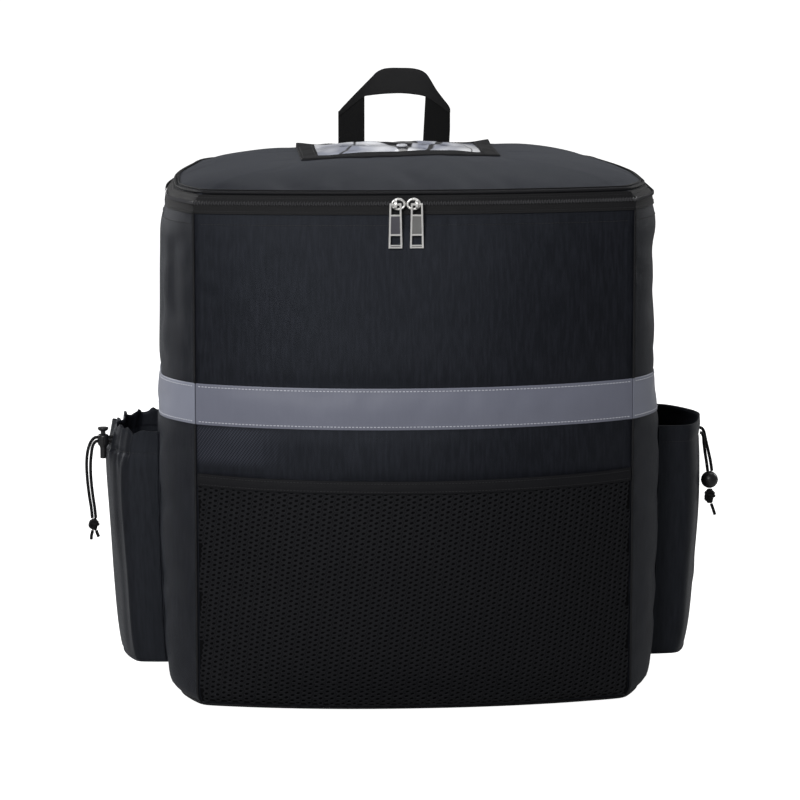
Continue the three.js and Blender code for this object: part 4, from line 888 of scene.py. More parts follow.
def cords():
    left_knot = knot("cord_knot_left", (-288.8, -21, 147.7), 5.2, 11)
    pieces = {}
    for name in CORD_ROUTES:
        inner = [name.replace("left_", "left_inner_")] if name.startswith("drawcord_left") else []
        pieces[name] = cord_piece(name, [name] + inner)
    right_knot = knot("cord_knot_right", (285.8, -10, 164.4), 5.6, 14.2)

    pile = Pile()
    half_turn = np.linspace(-math.pi / 2, math.pi / 2, 25)
    pile.add(*turned(np.stack([np.cos(half_turn), np.sin(half_turn)], 1) * BEAD_RADIUS, BEAD_SPOT))
    a = np.linspace(0, 2 * math.pi, 49)[:-1]
    pile.tube(BEAD_SPOT + np.stack([np.cos(a), np.sin(a), 0 * a], 1) * (BEAD_RADIUS + 0.02), 0.22, 6, closed=True)
    bead = pile.finish("bead", PLASTIC, node="cord_bead", slot="black_plastic")

    pile = Pile()
    pile.add(*turned(rounded_profile([(0, 209.6), (2.9, 209.6), (2.95, 219.2), (3.3, 220.6), (5.2, 223.2), (5.2, 230.6),
                                      (4.2, 232.0), (2.6, 232.0), (2.6, 220.2), (0, 220.2)], 0.7), LOCK_SPOT))
    for side in (1, -1):
        pile.tube([(LOCK_SPOT[0], LOCK_SPOT[1] + side * 5.25, z) for z in np.linspace(223.6, 230.2, 8)], 0.45, 6)
    barrel = pile.finish("lock_barrel", PLASTIC, node="cord_lock_barrel", slot="black_plastic")
    pile = Pile()
    pile.add(*turned(rounded_profile([(0, 223.3), (2.25, 223.3), (2.25, 235.3), (3.5, 235.3), (5.0, 236.9),
                                      (5.0, 238.5), (0, 238.5)], 0.6), LOCK_SPOT))
    plunger = pile.finish("lock_button", PLASTIC, node="cord_lock_plunger", slot="black_plastic", body="lock_plunger")

    declare_cord(*pieces["drawcord_left_1"], left_knot, barrel, plunger, pieces["cord_tail_left_1"][0])
    declare_cord(*pieces["drawcord_left_2"], pieces["cord_tail_left_2"][0])
    declare_cord(*pieces["drawcord_right_1"], bead, right_knot, pieces["cord_tail_right"][0])
    declare_cord(*pieces["drawcord_right_2"])


cords()

# Body, lid and what is sewn to them

# Gap to what a piece lies on, and the highest row of the body that a path follows
TOUCH = 0.3
TOP_ROW = BODY_HEIGHT - 0.02


def body_cloth():
    z_values = np.concatenate([[0.0, 1.2, 3.0, 5.5], spaced(9, BODY_HEIGHT - 0.15, 4.5)])
    outer = np.concatenate([panel_grid(panel, 0, 1, z_values, 0.0)[:, :-1] for panel in PANELS], 1)
    base = [outer[0] * [share, share, 0] for share in np.linspace(0.04, 0.97, 9)]
    outer = np.concatenate([base, outer])
    length = run_lengths(outer[60]) * MILLIMETRE
    rise = np.concatenate([np.linspace(-150, -2, 9), z_values]) * MILLIMETRE
    uv = np.stack(np.meshgrid(length, rise), -1)
    faces = grid_quads(outer.shape[0], outer.shape[1], True).tolist()
    faces.append(list(range(outer.shape[1]))[::-1])
    obj = make_object("bag_body_cloth", outer.reshape(-1, 3), faces, CLOTH, uv=uv.reshape(-1, 2), node="bag_body",
                      slot="body_fabric", smooth_angle=50)


LID_LOW = BODY_HEIGHT + 0.15
LID_SKIRT = 9.0
LID_RISE = 20.5
LID_POWER = 3.8
LID_LEAN = np.array([0.035, 0.01])


def lid_plan(step=5.0):
    grids = [panel_grid(panel, 0, 1, [BODY_HEIGHT - 0.01], 0.0, step)[0, :-1] for panel in PANELS]
    return np.concatenate(grids)


def lean_in(points):
    """Draws points above the zip in towards the lid's rim."""
    points = np.array(points)
    share = np.clip((points[..., 2:] - BODY_HEIGHT) / LID_SKIRT, 0, 1)
    points[..., :2] *= 1 - LID_LEAN * share
    return points


def lid_rim(step=5.0):
    return lid_plan(step) * np.append(1 - LID_LEAN, 1)


def lid_height(ring):
    return BODY_HEIGHT + LID_SKIRT + LID_RISE * (1 - np.asarray(ring) ** LID_POWER)


def lid_relief(x, y, ring):
    """Small soft unevenness of the padded lid, fading out at its rim."""
    fade = 1 - np.asarray(ring) ** 10
    relief = fade * (0.7 * wave_noise(x, y, 31, 130.0) - 2.4 * bell(x + 128.0, 48.0))
    if "lid" in SWELL:
        table = SWELL["lid"]
        plan = lid_rim(LID_STEP)
        turn = np.unwrap(np.arctan2(plan[:, 1], plan[:, 0]))
        order = np.arange(len(plan))
        angle = np.arctan2(y, x)
        angle = turn[0] + np.mod(angle - turn[0], 2 * math.pi)
        column = np.interp(angle, np.append(turn, turn[0] + 2 * math.pi), np.append(order, len(plan)))
        row = np.clip(1 - np.asarray(ring), 0, 1) ** (1 / 1.35) * (table.shape[0] - 1)
        relief = relief + spline_value(table, column + LID_WRAP, row)
    return relief


LID_STEP = 9.0
LID_WRAP = 3
WINDOW_BOX = (-97.0, 84.0, -49.0, 69.0)


def settle_lid():
    """Runs the cloth of the lid once, held at its rim and where the window is sewn to it."""
    plan = lid_rim(LID_STEP)
    rings = 1 - np.linspace(0, 0.985, 26) ** 1.35
    x, y = plan[None, :, 0] * rings[:, None], plan[None, :, 1] * rings[:, None]
    points = np.stack([x, y, lid_height(rings)[:, None] + 0 * x], -1)
    x0, x1, y0, y1 = WINDOW_BOX
    away = np.maximum(np.maximum(x0 - x, x - x1), np.maximum(y0 - y, y - y1))
    hold = bell(away, 7.0)
    hold[0] = 1
    faces = grid_quads(points.shape[0], points.shape[1], True)
    off = settle(points, faces, hold, CLOTH_SLACK)[..., 2] - points[..., 2]
    cap = SWELL_CAP["lid"]
    table = cap * np.tanh(off / cap)
    table[-3:] = table[-3:].mean(1, keepdims=True)
    SWELL["lid"] = np.concatenate([table[:, -LID_WRAP:], table, table[:, :LID_WRAP + 1]], 1)


def lid_top(x, y):
    """Height of the lid's outer face over a point of its plan."""
    plan = lid_rim(12.0)
    nxt = np.roll(plan, -1, 0)
    x, y = np.broadcast_arrays(np.asarray(x, float), np.asarray(y, float))
    edge = nxt - plan
    reach = plan[:, 0] * edge[:, 1] - plan[:, 1] * edge[:, 0]
    ring = (x[..., None] * edge[:, 1] - y[..., None] * edge[:, 0]) / reach
    ring = ring.max(-1)
    return lid_height(ring) + lid_relief(x, y, ring)


def lid_cloth():
    plan = lid_rim()
    flat = lid_plan() * [1, 1, 0]
    rows = [lean_in(flat + [0, 0, z]) for z in (LID_LOW, LID_LOW + 4.5, BODY_HEIGHT + LID_SKIRT)]
    rings = 1 - np.linspace(0, 1, 46)[1:] ** 1.35
    rings[-1] = 0.004
    for ring in rings:
        x, y = plan[:, 0] * ring, plan[:, 1] * ring
        rows.append(np.stack([x, y, lid_height(ring) + lid_relief(x, y, ring)], 1))
    outer = np.array(rows)
    uv = outer[..., :2] * MILLIMETRE
    faces = grid_quads(outer.shape[0], outer.shape[1], True).tolist()
    faces.append([(outer.shape[0] - 1) * outer.shape[1] + i for i in range(outer.shape[1])])
    obj = make_object("lid_cloth", outer.reshape(-1, 3), faces, LID_CLOTH, uv=uv.reshape(-1, 2), node="lid",
                      slot="lid_fabric")


def ring_path(z, off, step=5.0, sides=("front", "right", "back", "left"), q_first=0.0, q_last=1.0):
    """Points round the body at a height, standing off it by off."""
    parts = []
    for i, panel in enumerate(sides):
        count = max(2, int(round(panel_width(panel, MIDDLE) / step)))
        low = q_first if i == 0 else 0.0
        high = q_last if i == len(sides) - 1 else 1.0
        q = np.linspace(low, high, count + 1)
        parts.append(panel_point(panel, q, z, off)[:-1] if i < len(sides) - 1 or len(sides) == 4
                     else panel_point(panel, q, z, off))
    return np.concatenate(parts)


def soften_corners(path, passes=2, closed=True):
    for _ in range(passes):
        if closed:
            path = (np.roll(path, 1, 0) + 2 * path + np.roll(path, -1, 0)) / 4
        else:
            inner = (path[:-2] + 2 * path[1:-1] + path[2:]) / 4
            path = np.concatenate([path[:1], inner, path[-1:]])
    return path


def stitch_row(pile, path, length, pitch, radius, flat=0.6, sides=6):
    """A row of stitches: short rounded lengths of thread that dip in at both ends. path holds points and outward
    directions at even steps."""
    points, outwards = path
    total = run_lengths(points)
    count = int(total[-1] / pitch)
    shift = (total[-1] - count * pitch) / 2
    shares = np.array([0.0, 0.12, 0.5, 0.88, 1.0])
    lifts = np.array([-0.9, 0.0, 0.35, 0.0, -0.9]) * radius
    for i in range(count):
        at = shift + i * pitch + (pitch - length) / 2 + shares * length
        n = unit(followed(outwards, total, at))
        p = followed(points, total, at) + n * lifts[:, None]
        pile.tube(p, radius, sides, up=n, flat=flat, radii=radius * np.array([0.45, 0.95, 1.0, 0.95, 0.45]))


def panel_path(panel, q0, q1, z0, z1, off, step=2.0):
    length = max(abs(q1 - q0) * panel_width(panel, MIDDLE), abs(z1 - z0))
    count = max(3, int(length / step))
    q = np.linspace(q0, q1, count)
    z = np.linspace(z0, z1, count)
    return panel_point(panel, q, z, off(q, z) if callable(off) else off), panel_normal(panel, q, z)


def pipings():
    rim_z = BODY_HEIGHT + LID_SKIRT
    pile = Pile()
    base = ring_path(TOP_ROW, 1.35)
    base[:, 2] = rim_z
    pile.tube(soften_corners(lean_in(base)), 1.55, 10, closed=True)
    base = ring_path(TOP_ROW, 0.35)
    base[:, 2] = rim_z + 2.0
    pile.tube(soften_corners(lean_in(base) * [0.992, 0.992, 1]), 0.7, 6, closed=True)
    pile.finish("lid_edge_cord", PIPING, node="lid_piping", slot="piping")

    pile = Pile()
    path = ring_path(3.6, 1.3)
    path[:, 2] = 3.6
    pile.tube(soften_corners(path), 1.5, 10, closed=True)
    pile.finish("base_edge_cord", PIPING, node="base_piping", slot="piping")

    for name, q_front, side, q_side in (("left", 0.0, "left", 1.0), ("right", 1.0, "right", 0.0)):
        pile = Pile()
        for low, high in ((5.6, BAND_LOW - 0.2), (BAND_HIGH + 0.2, 449.6)):
            z = spaced(low, high, 4.0)
            normal = unit(panel_normal("front", q_front, z) + panel_normal(side, q_side, z))
            path = panel_base("front", np.full_like(z, q_front), z)
            pile.tube(path + normal * 0.45, 0.8, 10, up=normal)
            turn = 1 if name == "left" else -1
            across = np.cross(normal, [0, 0, 1.0]) * turn
            pile.tube(path + normal * 0.15 + across * 1.35, 0.55, 6, up=normal, flat=0.8)
        pile.finish("seam_cord_" + name, PIPING, node="seam_piping_" + name, slot="piping")


SIDE_WIDTH = 238.0


def bands():
    low, high = BAND_LOW, BAND_HIGH
    seam = {"front": 0.45 / FRONT_WIDTH, "side": 0.45 / SIDE_WIDTH}
    runs = {
        "front": ("front", seam["front"], 1 - seam["front"]),
        "right": ("right", seam["side"], 1 - CORNER_LENGTH / side_length(0.0)),
        "left": ("left", CORNER_LENGTH / side_length(0.0), 1 - seam["side"]),
    }
    threads = Pile()
    for name, (panel, q0, q1) in runs.items():
        z = np.concatenate([[low, low + 0.25, low + 0.8], spaced(low + 3.5, high - 3.5, 3.0),
                            [high - 0.8, high - 0.25, high]])

        def lift(q, z):
            edge = np.minimum(z - low, high - z)
            groove = 0.22 * bell(edge - 2.7, 0.8)
            return TOUCH + 0.8 - 0.45 * np.exp(-edge / 0.45) - groove

        outer = panel_grid(panel, q0, q1, z, lift, 5.0)
        inner = panel_grid(panel, q0, q1, z, TOUCH, 5.0)
        pile = Pile()
        pile.wall(outer, 0.7, inner=inner)
        # The side runs of the band take the lighter copy of the tape: painted light.
        pile.finish("band_" + name, BAND if name == "front" else BAND_SIDE_PAINTED_LIGHT, node="reflective_band_" + name,
                    slot="reflective_strip")
        for edge in BAND_STITCHES:
            stitch_row(threads, panel_path(panel, q0 + 0.004, q1 - 0.004, edge, edge, TOUCH + 0.8), 2.15, 3.2, 0.36,
                       flat=0.7)
    threads.finish("band_stitches", THREAD, slot="reflective_strip")


def zip_parts():
    sides = ("left", "front", "right")
    q_first = CORNER_LENGTH / side_length(0.0)
    q_last = 1 - CORNER_LENGTH / side_length(0.0)
    pile = Pile()

    def strip(z_values, offs, thickness):
        rows = []
        for z, off in zip(z_values, offs):
            row = ring_path(min(z, TOP_ROW), off, 4.0, sides, q_first, q_last)
            row[:, 2] = z
            rows.append(lean_in(row))
        pile.wall(np.array(rows), thickness)

    strip([450.0, 450.3, 451.5, 453.5, 456.0, 458.6, 459.7, 459.9], [0.9, 1.5, 1.45, 1.25, 1.4, 1.5, 1.3, 1.0], 0.5)
    strip([460.1, 460.3, 461.4, 463.5, 465.4, 466.6, 467.1, 467.3], [1.0, 1.3, 1.5, 1.35, 1.6, 1.75, 1.4, 0.9], 0.5)
    pile.finish("zip_tape_halves", TAPE, node="zip_tape", slot="zip_tape")

    threads = Pile()
    for z in (452.6, 464.4):
        row = ring_path(min(z, TOP_ROW), 1.55, 2.0, sides, q_first, q_last)
        row[:, 2] = z
        row = lean_in(row)
        stitch_row(threads, (row, sideways(row)), 2.0, 2.9, 0.28)
    for panel, q0, q1 in (("front", 0.012, 0.988), ("right", 0.01, q_last), ("left", q_first, 0.99)):
        stitch_row(threads, panel_path(panel, q0, q1, 440.6, 440.6, 0.25), 2.1, 3.0, 0.3)
    threads.finish("zip_stitches", DARK_THREAD, slot="piping")

    path = ring_path(TOP_ROW, 2.5, 2.0, sides, q_first, q_last)
    path[:, 2] = BODY_HEIGHT
    total = run_lengths(path)
    pitch = 1.55
    count = int(total[-1] / pitch)
    pile = Pile()
    for i in range(count):
        at = (i + 0.5) * pitch
        p = followed(path, total, at)
        ahead = unit(followed(path, total, at + 0.4) - p)
        out = np.cross(ahead, [0, 0, 1.0])
        side = 1 if i % 2 else -1
        loop = []
        for a, r in ((-1.9, 0.0), (-1.2, 0.62), (0.0, 0.75), (0.8, 0.6), (1.1, 0.1)):
            loop.append(p + ahead * (0.12 * a) + np.array([0, 0, side * -a]) + out * (r - 0.15))
        pile.tube(np.array(loop), 0.42, 5, radii=[0.3, 0.42, 0.46, 0.52, 0.3])
    pile.finish("zip_coil_loops", COIL, node="zip_coil", slot="zip_coil")


# The mesh pocket: its lower edge, its hem's lower and upper edge, its gap to the seams as a share of the front, and how
# far inside the hem's edges its stitches run
MESH_LOW = 7.0
HEM_LOW, HEM_HIGH = 205.0, 217.0
MESH_EDGE = 1.9 / FRONT_WIDTH
HEM_STITCH = 2.4


def room(q, z):
    """How far the mesh pocket stands off the front panel."""
    share = 2 * q - 1
    up = np.clip((z - MESH_LOW) / (HEM_HIGH - MESH_LOW), 0, 1)
    return TOUCH + 7.0 * (1 - share ** 2) * np.sin(up * math.pi / 2)


def front_pocket():
    pile = Pile()
    # The sheet just under the net is painted shade for the inside of the pocket.
    shade_sheet = panel_grid("front", MESH_EDGE, 1 - MESH_EDGE, spaced(MESH_LOW, HEM_LOW + 0.5, 6.0),
                         lambda q, z: room(q, z) + 0.05, 6.0)
    pile.wall(shade_sheet, 0.25)
    shade_sheet_piece = pile.finish("pocket_shade_sheet", POCKET_SHADE, node="mesh_pocket", slot="mesh")
    declare_sheet(shade_sheet, [mesh_net()])
    mesh_hem()


def mesh_net():
    """The knitted net: a ring of strands round each hole, on a leaning lattice."""
    pitch_x, pitch_z, lean = 5.1, 4.7, 0.54
    width = FRONT_WIDTH * (1 - 2 * MESH_EDGE)
    first = MESH_LOW + 0.5
    centre = []
    for j in range(-24, int(width / pitch_x) + 26):
        for i in range(int((HEM_LOW - first) / pitch_z) + 2):
            x = j * pitch_x + i * lean
            z = first + i * pitch_z + (pitch_z / 2 if j % 2 else 0.0)
            if 1.2 < x < width - 1.2 and 8.6 < z < HEM_LOW + 0.2:
                centre.append((x, z))
    corner = np.array([[0.66, 0], [0.34, 0.5], [-0.34, 0.5], [-0.66, 0], [-0.34, -0.5], [0.34, -0.5]])
    corner = corner * [pitch_x, pitch_z]
    loop = []
    for a in range(6):
        loop += [corner[a], (corner[a] + corner[(a + 1) % 6]) / 2]
    loop = np.array(loop)
    loop[:, 0] += loop[:, 1] * lean / pitch_z
    angle = np.arctan2(loop[:, 1], loop[:, 0])
    tilt = math.radians(16)
    hole = np.stack([1.72 * np.cos(angle), 1.12 * np.sin(angle)], 1)
    hole = hole @ np.array([[math.cos(tilt), math.sin(tilt)], [-math.sin(tilt), math.cos(tilt)]])
    rings = np.array([loop, hole * 0.45 + loop * 0.55, hole * 1.02, hole * 0.94])
    heights = np.array([0.55, 0.75, 0.5, 0.12])
    xz = np.array(centre)[:, None, None, :] + rings[None]
    q = np.clip(MESH_EDGE + xz[..., 0] / FRONT_WIDTH, MESH_EDGE, 1 - MESH_EDGE)
    z = np.clip(xz[..., 1], MESH_LOW, HEM_LOW + 0.4)
    points = panel_point("front", q, z, room(q, z) + 0.35 + heights[None, :, None])
    count, ring_count, around = points.shape[:3]
    base = np.arange(count)[:, None, None] * ring_count * around
    r = np.arange(ring_count - 1)[None, :, None] * around
    c = np.arange(around)[None, None, :]
    a, b = base + r + c, base + r + (c + 1) % around
    quads = np.stack([a, b, b + around, a + around], -1).reshape(-1, 4)
    uv = xz.reshape(-1, 2) * MILLIMETRE
    return make_object("pocket_net", points.reshape(-1, 3), quads.tolist(), NET, uv=uv, slot="mesh", smooth_angle=70)


def mesh_hem():
    low, high = HEM_LOW, HEM_HIGH
    z = np.concatenate([[low, low + 0.3, low + 1.0], spaced(low + 2.5, high - 2.5, 2.0),
                        [high - 1.0, high - 0.3, high]])

    def lift(q, z):
        side = np.minimum(z - low, high - z)
        roll = 0.9 * np.exp(-side / 0.5)
        groove = 0.35 * bell(side - HEM_STITCH, 0.7)
        return room(q, z) + 2.2 - roll - groove + 0.18 * wave_noise(q * FRONT_WIDTH, z, 61, 20.0)

    pile = Pile()
    outer = panel_grid("front", MESH_EDGE, 1 - MESH_EDGE, z, lift, 4.0)
    inner = panel_grid("front", MESH_EDGE, 1 - MESH_EDGE, z, lambda q, z: room(q, z) + 0.1, 4.0)
    pile.wall(outer, 2.0, inner=inner)
    pile.finish("pocket_binding", HEM, node="mesh_pocket_hem", slot="piping")
    threads = Pile()
    for level in (low + HEM_STITCH, high - HEM_STITCH):
        stitch_row(threads, panel_path("front", MESH_EDGE + 0.004, 1 - MESH_EDGE - 0.004, level, level,
                                       lambda q, z: room(q, z) + 1.95), 2.1, 3.0, 0.28)
    threads.finish("pocket_stitches", DARK_THREAD, slot="piping")


# Side pockets

POCKET_LOW = 26.0
POCKET_HALF = 60.0
POCKET_STITCH = {"left": 0.905, "right": 0.925}
POCKET_REACH = 50.5
POCKET_OUT = np.array([0.0, 0.34, 0.63, 0.76, 0.9, 1.0, 0.9, 0.76, 0.63, 0.34, 0.0])
POCKET_ALONG = np.array([-1.0, -0.985, -0.94, -0.8, -0.45, 0.0, 0.45, 0.8, 0.94, 0.985, 1.0])


def pocket_outline(count):
    """Half oval of the pocket's plan: share outwards and share backwards, at even steps round it."""
    fine, _ = curve_through(np.stack([POCKET_OUT, POCKET_ALONG, 0 * POCKET_OUT], 1), 401)
    length = run_lengths(fine)
    want = np.linspace(0, length[-1], count)
    return followed(fine, length, want)[..., :2]


def half_width_at(y, z):
    """How far out the side of the body is at a place along it."""
    q = np.linspace(0, 1, 121)
    out = []
    y, z = np.broadcast_arrays(np.asarray(y, float), np.asarray(z, float))
    for level in np.unique(z):
        line = panel_base("right", q, np.full_like(q, level))
        inside = line[:, 1] < HALF_DEPTH - 1
        keep = z == level
        out.append((keep, np.interp(y[keep], line[inside, 1], line[inside, 0])))
    result = np.zeros(y.shape)
    for keep, value in out:
        result[keep] = value
    return result


# Folds of each side pocket: height, place round the pocket at its base, lean, width, and how the fold comes and goes
# on the way up
POCKET_FOLDS = {
    "left": [
        (1.6, 0.2, 0.015, 0.016, [0, 0.1, 0.8, 0.9, 1], [0.4, 1, 1, 0.3, 0]),
        (-1.5, 0.26, 0.01, 0.03, [0, 0.1, 0.8, 0.9, 1], [0.2, 1, 1, 0.3, 0]),
        (0.9, 0.1, 0.0, 0.02, [0, 0.15, 0.75, 0.9, 1], [0, 1, 0.8, 0.3, 0]),
    ],
    "right": [
        (1.1, 0.2, 0.05, 0.035, [0, 0.1, 0.7, 0.9, 1], [0.2, 1, 1, 0.3, 0]),
        (-1.1, 0.36, -0.04, 0.03, [0, 0.1, 0.7, 0.9, 1], [0, 0.8, 1, 0.2, 0]),
        (1.2, 0.725, -0.9, 0.03, [0, 0.08, 0.25, 0.45, 1], [0, 0.6, 1, 0, 0]),
    ],
}


def pocket_folds(side, t, share):
    return sum(height * bell(t - middle - lean * share, width) * smooth_curve(stops, amounts, share)
               for height, middle, lean, width, stops, amounts in POCKET_FOLDS[side])


def pocket_rows(side, columns, rows):
    """Points of a pocket's outer face, with its folds. Rows run up and columns run from the front to the back."""
    outline = pocket_outline(columns)
    t = np.linspace(0, 1, columns)[None, :]
    share = np.asarray(rows)[:, None]
    z = POCKET_LOW + share * (POCKET_TOP - POCKET_LOW) + 0 * t
    free = np.sin(t * math.pi)
    if side == "left":
        reach = smooth_curve([0, 0.03, 0.3, 0.62, 0.84, 0.91, 1.0], [0.82, 0.87, 0.92, 0.97, 1.0, 0.955, 0.86], share)
        gather = smooth_curve([0, 0.7, 0.84, 0.9, 0.93, 1.0], [0, 0, 0.25, 0.9, 0.55, 1.0], share)
        phase = t * 9 * 2 * math.pi + 0.7 * np.sin(t * 21 + 1.0)
        ripple = np.sin(phase) * gather * np.minimum(1, 2.2 * free)
        small = np.sin(t * 23 * 2 * math.pi + 3 * np.sin(t * 9)) * gather * np.minimum(1, 2.5 * free)
        out = POCKET_REACH * reach * np.ones_like(t) + ripple * 2.3 + small * 0.8
        out = out - 1.4 * bell(share - POCKET_STITCH[side], 0.012) * np.minimum(1, 2 * free)
        out = out + pocket_folds(side, t, share) * np.minimum(1, 3 * free)
        out = out + 0.9 * wave_noise(t * 150, share * 90, 71, 55.0) * free
        jag = np.cos(phase + 0.4) * 3.0 + 1.6 * np.sin(t * 29 + 0.6) + 0.7 * np.sin(t * 67)
        z = z + np.where(share > 0.93, (share - 0.93) / 0.07, 0) * jag * free
    else:
        reach = smooth_curve([0, 0.03, 0.3, 0.62, 0.84, 0.91, 1.0], [0.82, 0.86, 0.93, 0.98, 1.0, 0.99, 1.0], share)
        out = POCKET_REACH * reach * np.ones_like(t)
        out = out - 0.7 * bell(share - POCKET_STITCH[side], 0.01) * np.minimum(1, 3 * free)
        out = out + bell(share - 0.965, 0.02) * 0.7 * np.minimum(1, 2 * free)
        out = out + pocket_folds(side, t, share) * np.minimum(1, 3 * free)
        out = out + 0.8 * wave_noise(t * 150, share * 110, 83, 60.0) * free
        z = z + np.where(share > 0.9, (share - 0.9) / 0.1, 0) * (-1.2 * np.cos(t * 2 * math.pi)) * free
    along = POCKET_HALF * outline[None, :, 1] * np.ones_like(share)
    seat = half_width_at(along, np.clip(z, POCKET_LOW, POCKET_TOP)) + 0.5
    x = seat + np.maximum(0, out * outline[None, :, 0])
    return np.stack([x, along, z], -1)


def declare_sheet(grid, with_pieces=()):
    """Works out the cross products of the two triangles of each cell of a sheet's face grid, and keeps nothing."""
    first = np.cross(grid[1:, :-1] - grid[:-1, :-1], grid[:-1, 1:] - grid[:-1, :-1])
    second = np.cross(grid[:-1, 1:] - grid[1:, 1:], grid[1:, :-1] - grid[1:, 1:])


def side_pockets():
    for side, columns in (("left", 170), ("right", 110)):
        shares = np.concatenate([[0.0, 0.004, 0.012], np.linspace(0.025, 0.88, 44), np.linspace(0.886, 0.993, 26),
                                 [0.997, 1.0]])
        outer = pocket_rows(side, columns, shares)
        flat = outer[0].copy()
        flat[:, 0] = half_width_at(flat[:, 1], flat[:, 2]) + 0.5
        middle = outer[0] * 0.5 + flat * 0.5
        outer = np.concatenate([[flat], [middle], outer])
        normal = grid_normals(outer)
        if np.mean(normal[20:60, 20:-20, 0]) < 0:
            normal = -normal
        thickness = np.full(outer.shape[0], 1.6)
        thickness[-3:] = [1.5, 1.2, 0.8]
        rim = shares.searchsorted(0.93) + 2
        thickness[rim:-3] = 1.9
        inner = outer - normal * thickness[:, None, None]
        low = half_width_at(inner[..., 1], np.clip(inner[..., 2], 1, 459)) + 0.5
        inner[..., 0] = np.maximum(inner[..., 0], low)
        inner[:2, :, 2] = np.maximum(inner[:2, :, 2], POCKET_LOW + 1.6)
        if side == "left":
            outer, inner = outer * [-1, 1, 1], inner * [-1, 1, 1]
            outer, inner = outer[:, ::-1], inner[:, ::-1]
        pile = Pile()
        pile.wall(outer, 1.6, inner=inner)
        bottom = outer[3]
        pile.tube(bottom + [0, 0, -0.4], 1.0, 8, flat=0.9)
        for column in (2, -3):
            pile.tube(outer[3:-2, column], 0.9, 6)
        obj = pile.finish("pocket_" + side, POCKET_CLOTH, node="side_pocket_" + side, slot="body_fabric",
                          smooth_angle=60)
        declare_sheet(outer)
        threads = Pile()
        level = int(np.searchsorted(shares, POCKET_STITCH[side])) + 2
        row = outer[level]
        outwards = sideways(row)
        stitch_row(threads, (row[3:-3] + outwards[3:-3] * 0.1, outwards[3:-3]), 2.0, 2.9, 0.28)
        threads.finish("pocket_stitches_" + side, DARK_THREAD, slot="body_fabric")


# Handle, window and zip hardware

HANDLE_SPAN = 53.5
HANDLE_HIGH = 94.0
HANDLE_SEWN_Y = 135.3


def strip_between(pile, lower, upper, y_front, thickness, across=9, edge=0.3, wave=0.0):
    """Flat webbing between two edges that are lists of (x, z), with slightly thinner borders."""
    lower, upper = np.asarray(lower, float), np.asarray(upper, float)
    s = np.linspace(0, 1, across)
    grid = np.zeros((across, len(lower), 3))
    back = np.zeros_like(grid)
    for k in range(across):
        p = lower * (1 - s[k]) + upper * s[k]
        grid[k, :, 0], grid[k, :, 2] = p[:, 0], p[:, 1]
        drop = edge * np.exp(-min(s[k], 1 - s[k]) / 0.03)
        bend = wave * wave_noise(p[:, 0], p[:, 1], 5, 45.0)
        y = y_front[k] if np.ndim(y_front) > 1 else y_front
        grid[k, :, 1] = y + drop + bend
        back[k] = grid[k]
        back[k, :, 1] = y + thickness - drop + bend
    pile.wall(grid, thickness, inner=back)


def carry_handle():
    """Two legs of webbing and a top length whose corners are folded over them."""
    def at(x, z):
        return [x * HANDLE_SPAN, BODY_HEIGHT + z * HANDLE_HIGH]

    pile = Pile()
    outer_top, inner_top = 0.56, 0.74
    for sign, inner_low, inner_high in ((-1, -0.53, -0.53), (1, 0.49, 0.56)):
        z = np.concatenate([np.linspace(-0.245, -0.03, 5), np.linspace(0.02, 1.0, 16)])
        left, right = [], []
        for share in z:
            up = max(share, 0)
            outer_x = sign * (1.0 if sign < 0 else 0.965 + 0.035 * min(1, up * 1.5))
            left.append(at(outer_x, share * (outer_top if share > 0 else 1)))
            right.append(at(inner_low + (inner_high - inner_low) * up, share * (inner_top if share > 0 else 1)))
        y_rows = np.where(z < -0.04, HANDLE_SEWN_Y, 138.55)
        for _ in range(2):
            y_rows[1:-1] = (y_rows[:-2] + 2 * y_rows[1:-1] + y_rows[2:]) / 4
        y_rows[z < -0.06] = HANDLE_SEWN_Y
        edges = (right, left) if sign < 0 else (left, right)
        strip_between(pile, *edges, np.broadcast_to(y_rows, (9, len(z))), 1.35)
    # The legs take the darker copy of the webbing: painted shade.
    pile.finish("handle_legs", LEG_WEBBING_PAINTED_SHADE, slot="webbing", smooth_angle=50)

    pile = Pile()
    upper = [(-1.0, 0.53), (-0.998, 0.55), (-0.965, 0.58), (-0.86, 0.645), (-0.62, 0.785), (-0.41, 0.905),
             (-0.31, 0.96), (-0.2, 0.99), (-0.08, 1.0), (0.1, 1.0), (0.32, 0.995), (0.47, 0.975), (0.57, 0.94),
             (0.65, 0.875), (0.75, 0.78), (0.86, 0.695), (0.97, 0.615), (1.0, 0.58), (1.0, 0.545)]
    lower = [(-0.99, 0.515), (-0.92, 0.545), (-0.84, 0.58), (-0.74, 0.625), (-0.63, 0.675), (-0.53, 0.712),
             (-0.42, 0.722), (-0.26, 0.732), (-0.1, 0.738), (0.08, 0.741), (0.2, 0.738), (0.33, 0.73), (0.47, 0.718),
             (0.56, 0.704), (0.64, 0.68), (0.73, 0.645), (0.83, 0.605), (0.92, 0.565), (0.99, 0.535)]
    upper, lower = (curve_through([np.insert(at(x, z), 1, 0) for x, z in edge], 90)[0][:, [0, 2]]
                    for edge in (upper, lower))
    y = np.tile(137.1 - 0.25 * bell(np.abs(upper[:, 0]) - 45, 8), (11, 1))
    strip_between(pile, lower, upper, y, 1.3, across=11, wave=0.1)
    for dx in (-41.0, 41.5):
        for k in range(2):
            z = 441.0 + 12.0 * k
            pile.tube(np.array([[dx - 10, 136.75, z], [dx - 9, 136.95, z], [dx + 9, 136.95, z], [dx + 10, 136.75, z]]),
                      0.3, 6)
    pile.finish("handle_webbing", WEBBING, node="carry_handle", slot="webbing", smooth_angle=50)


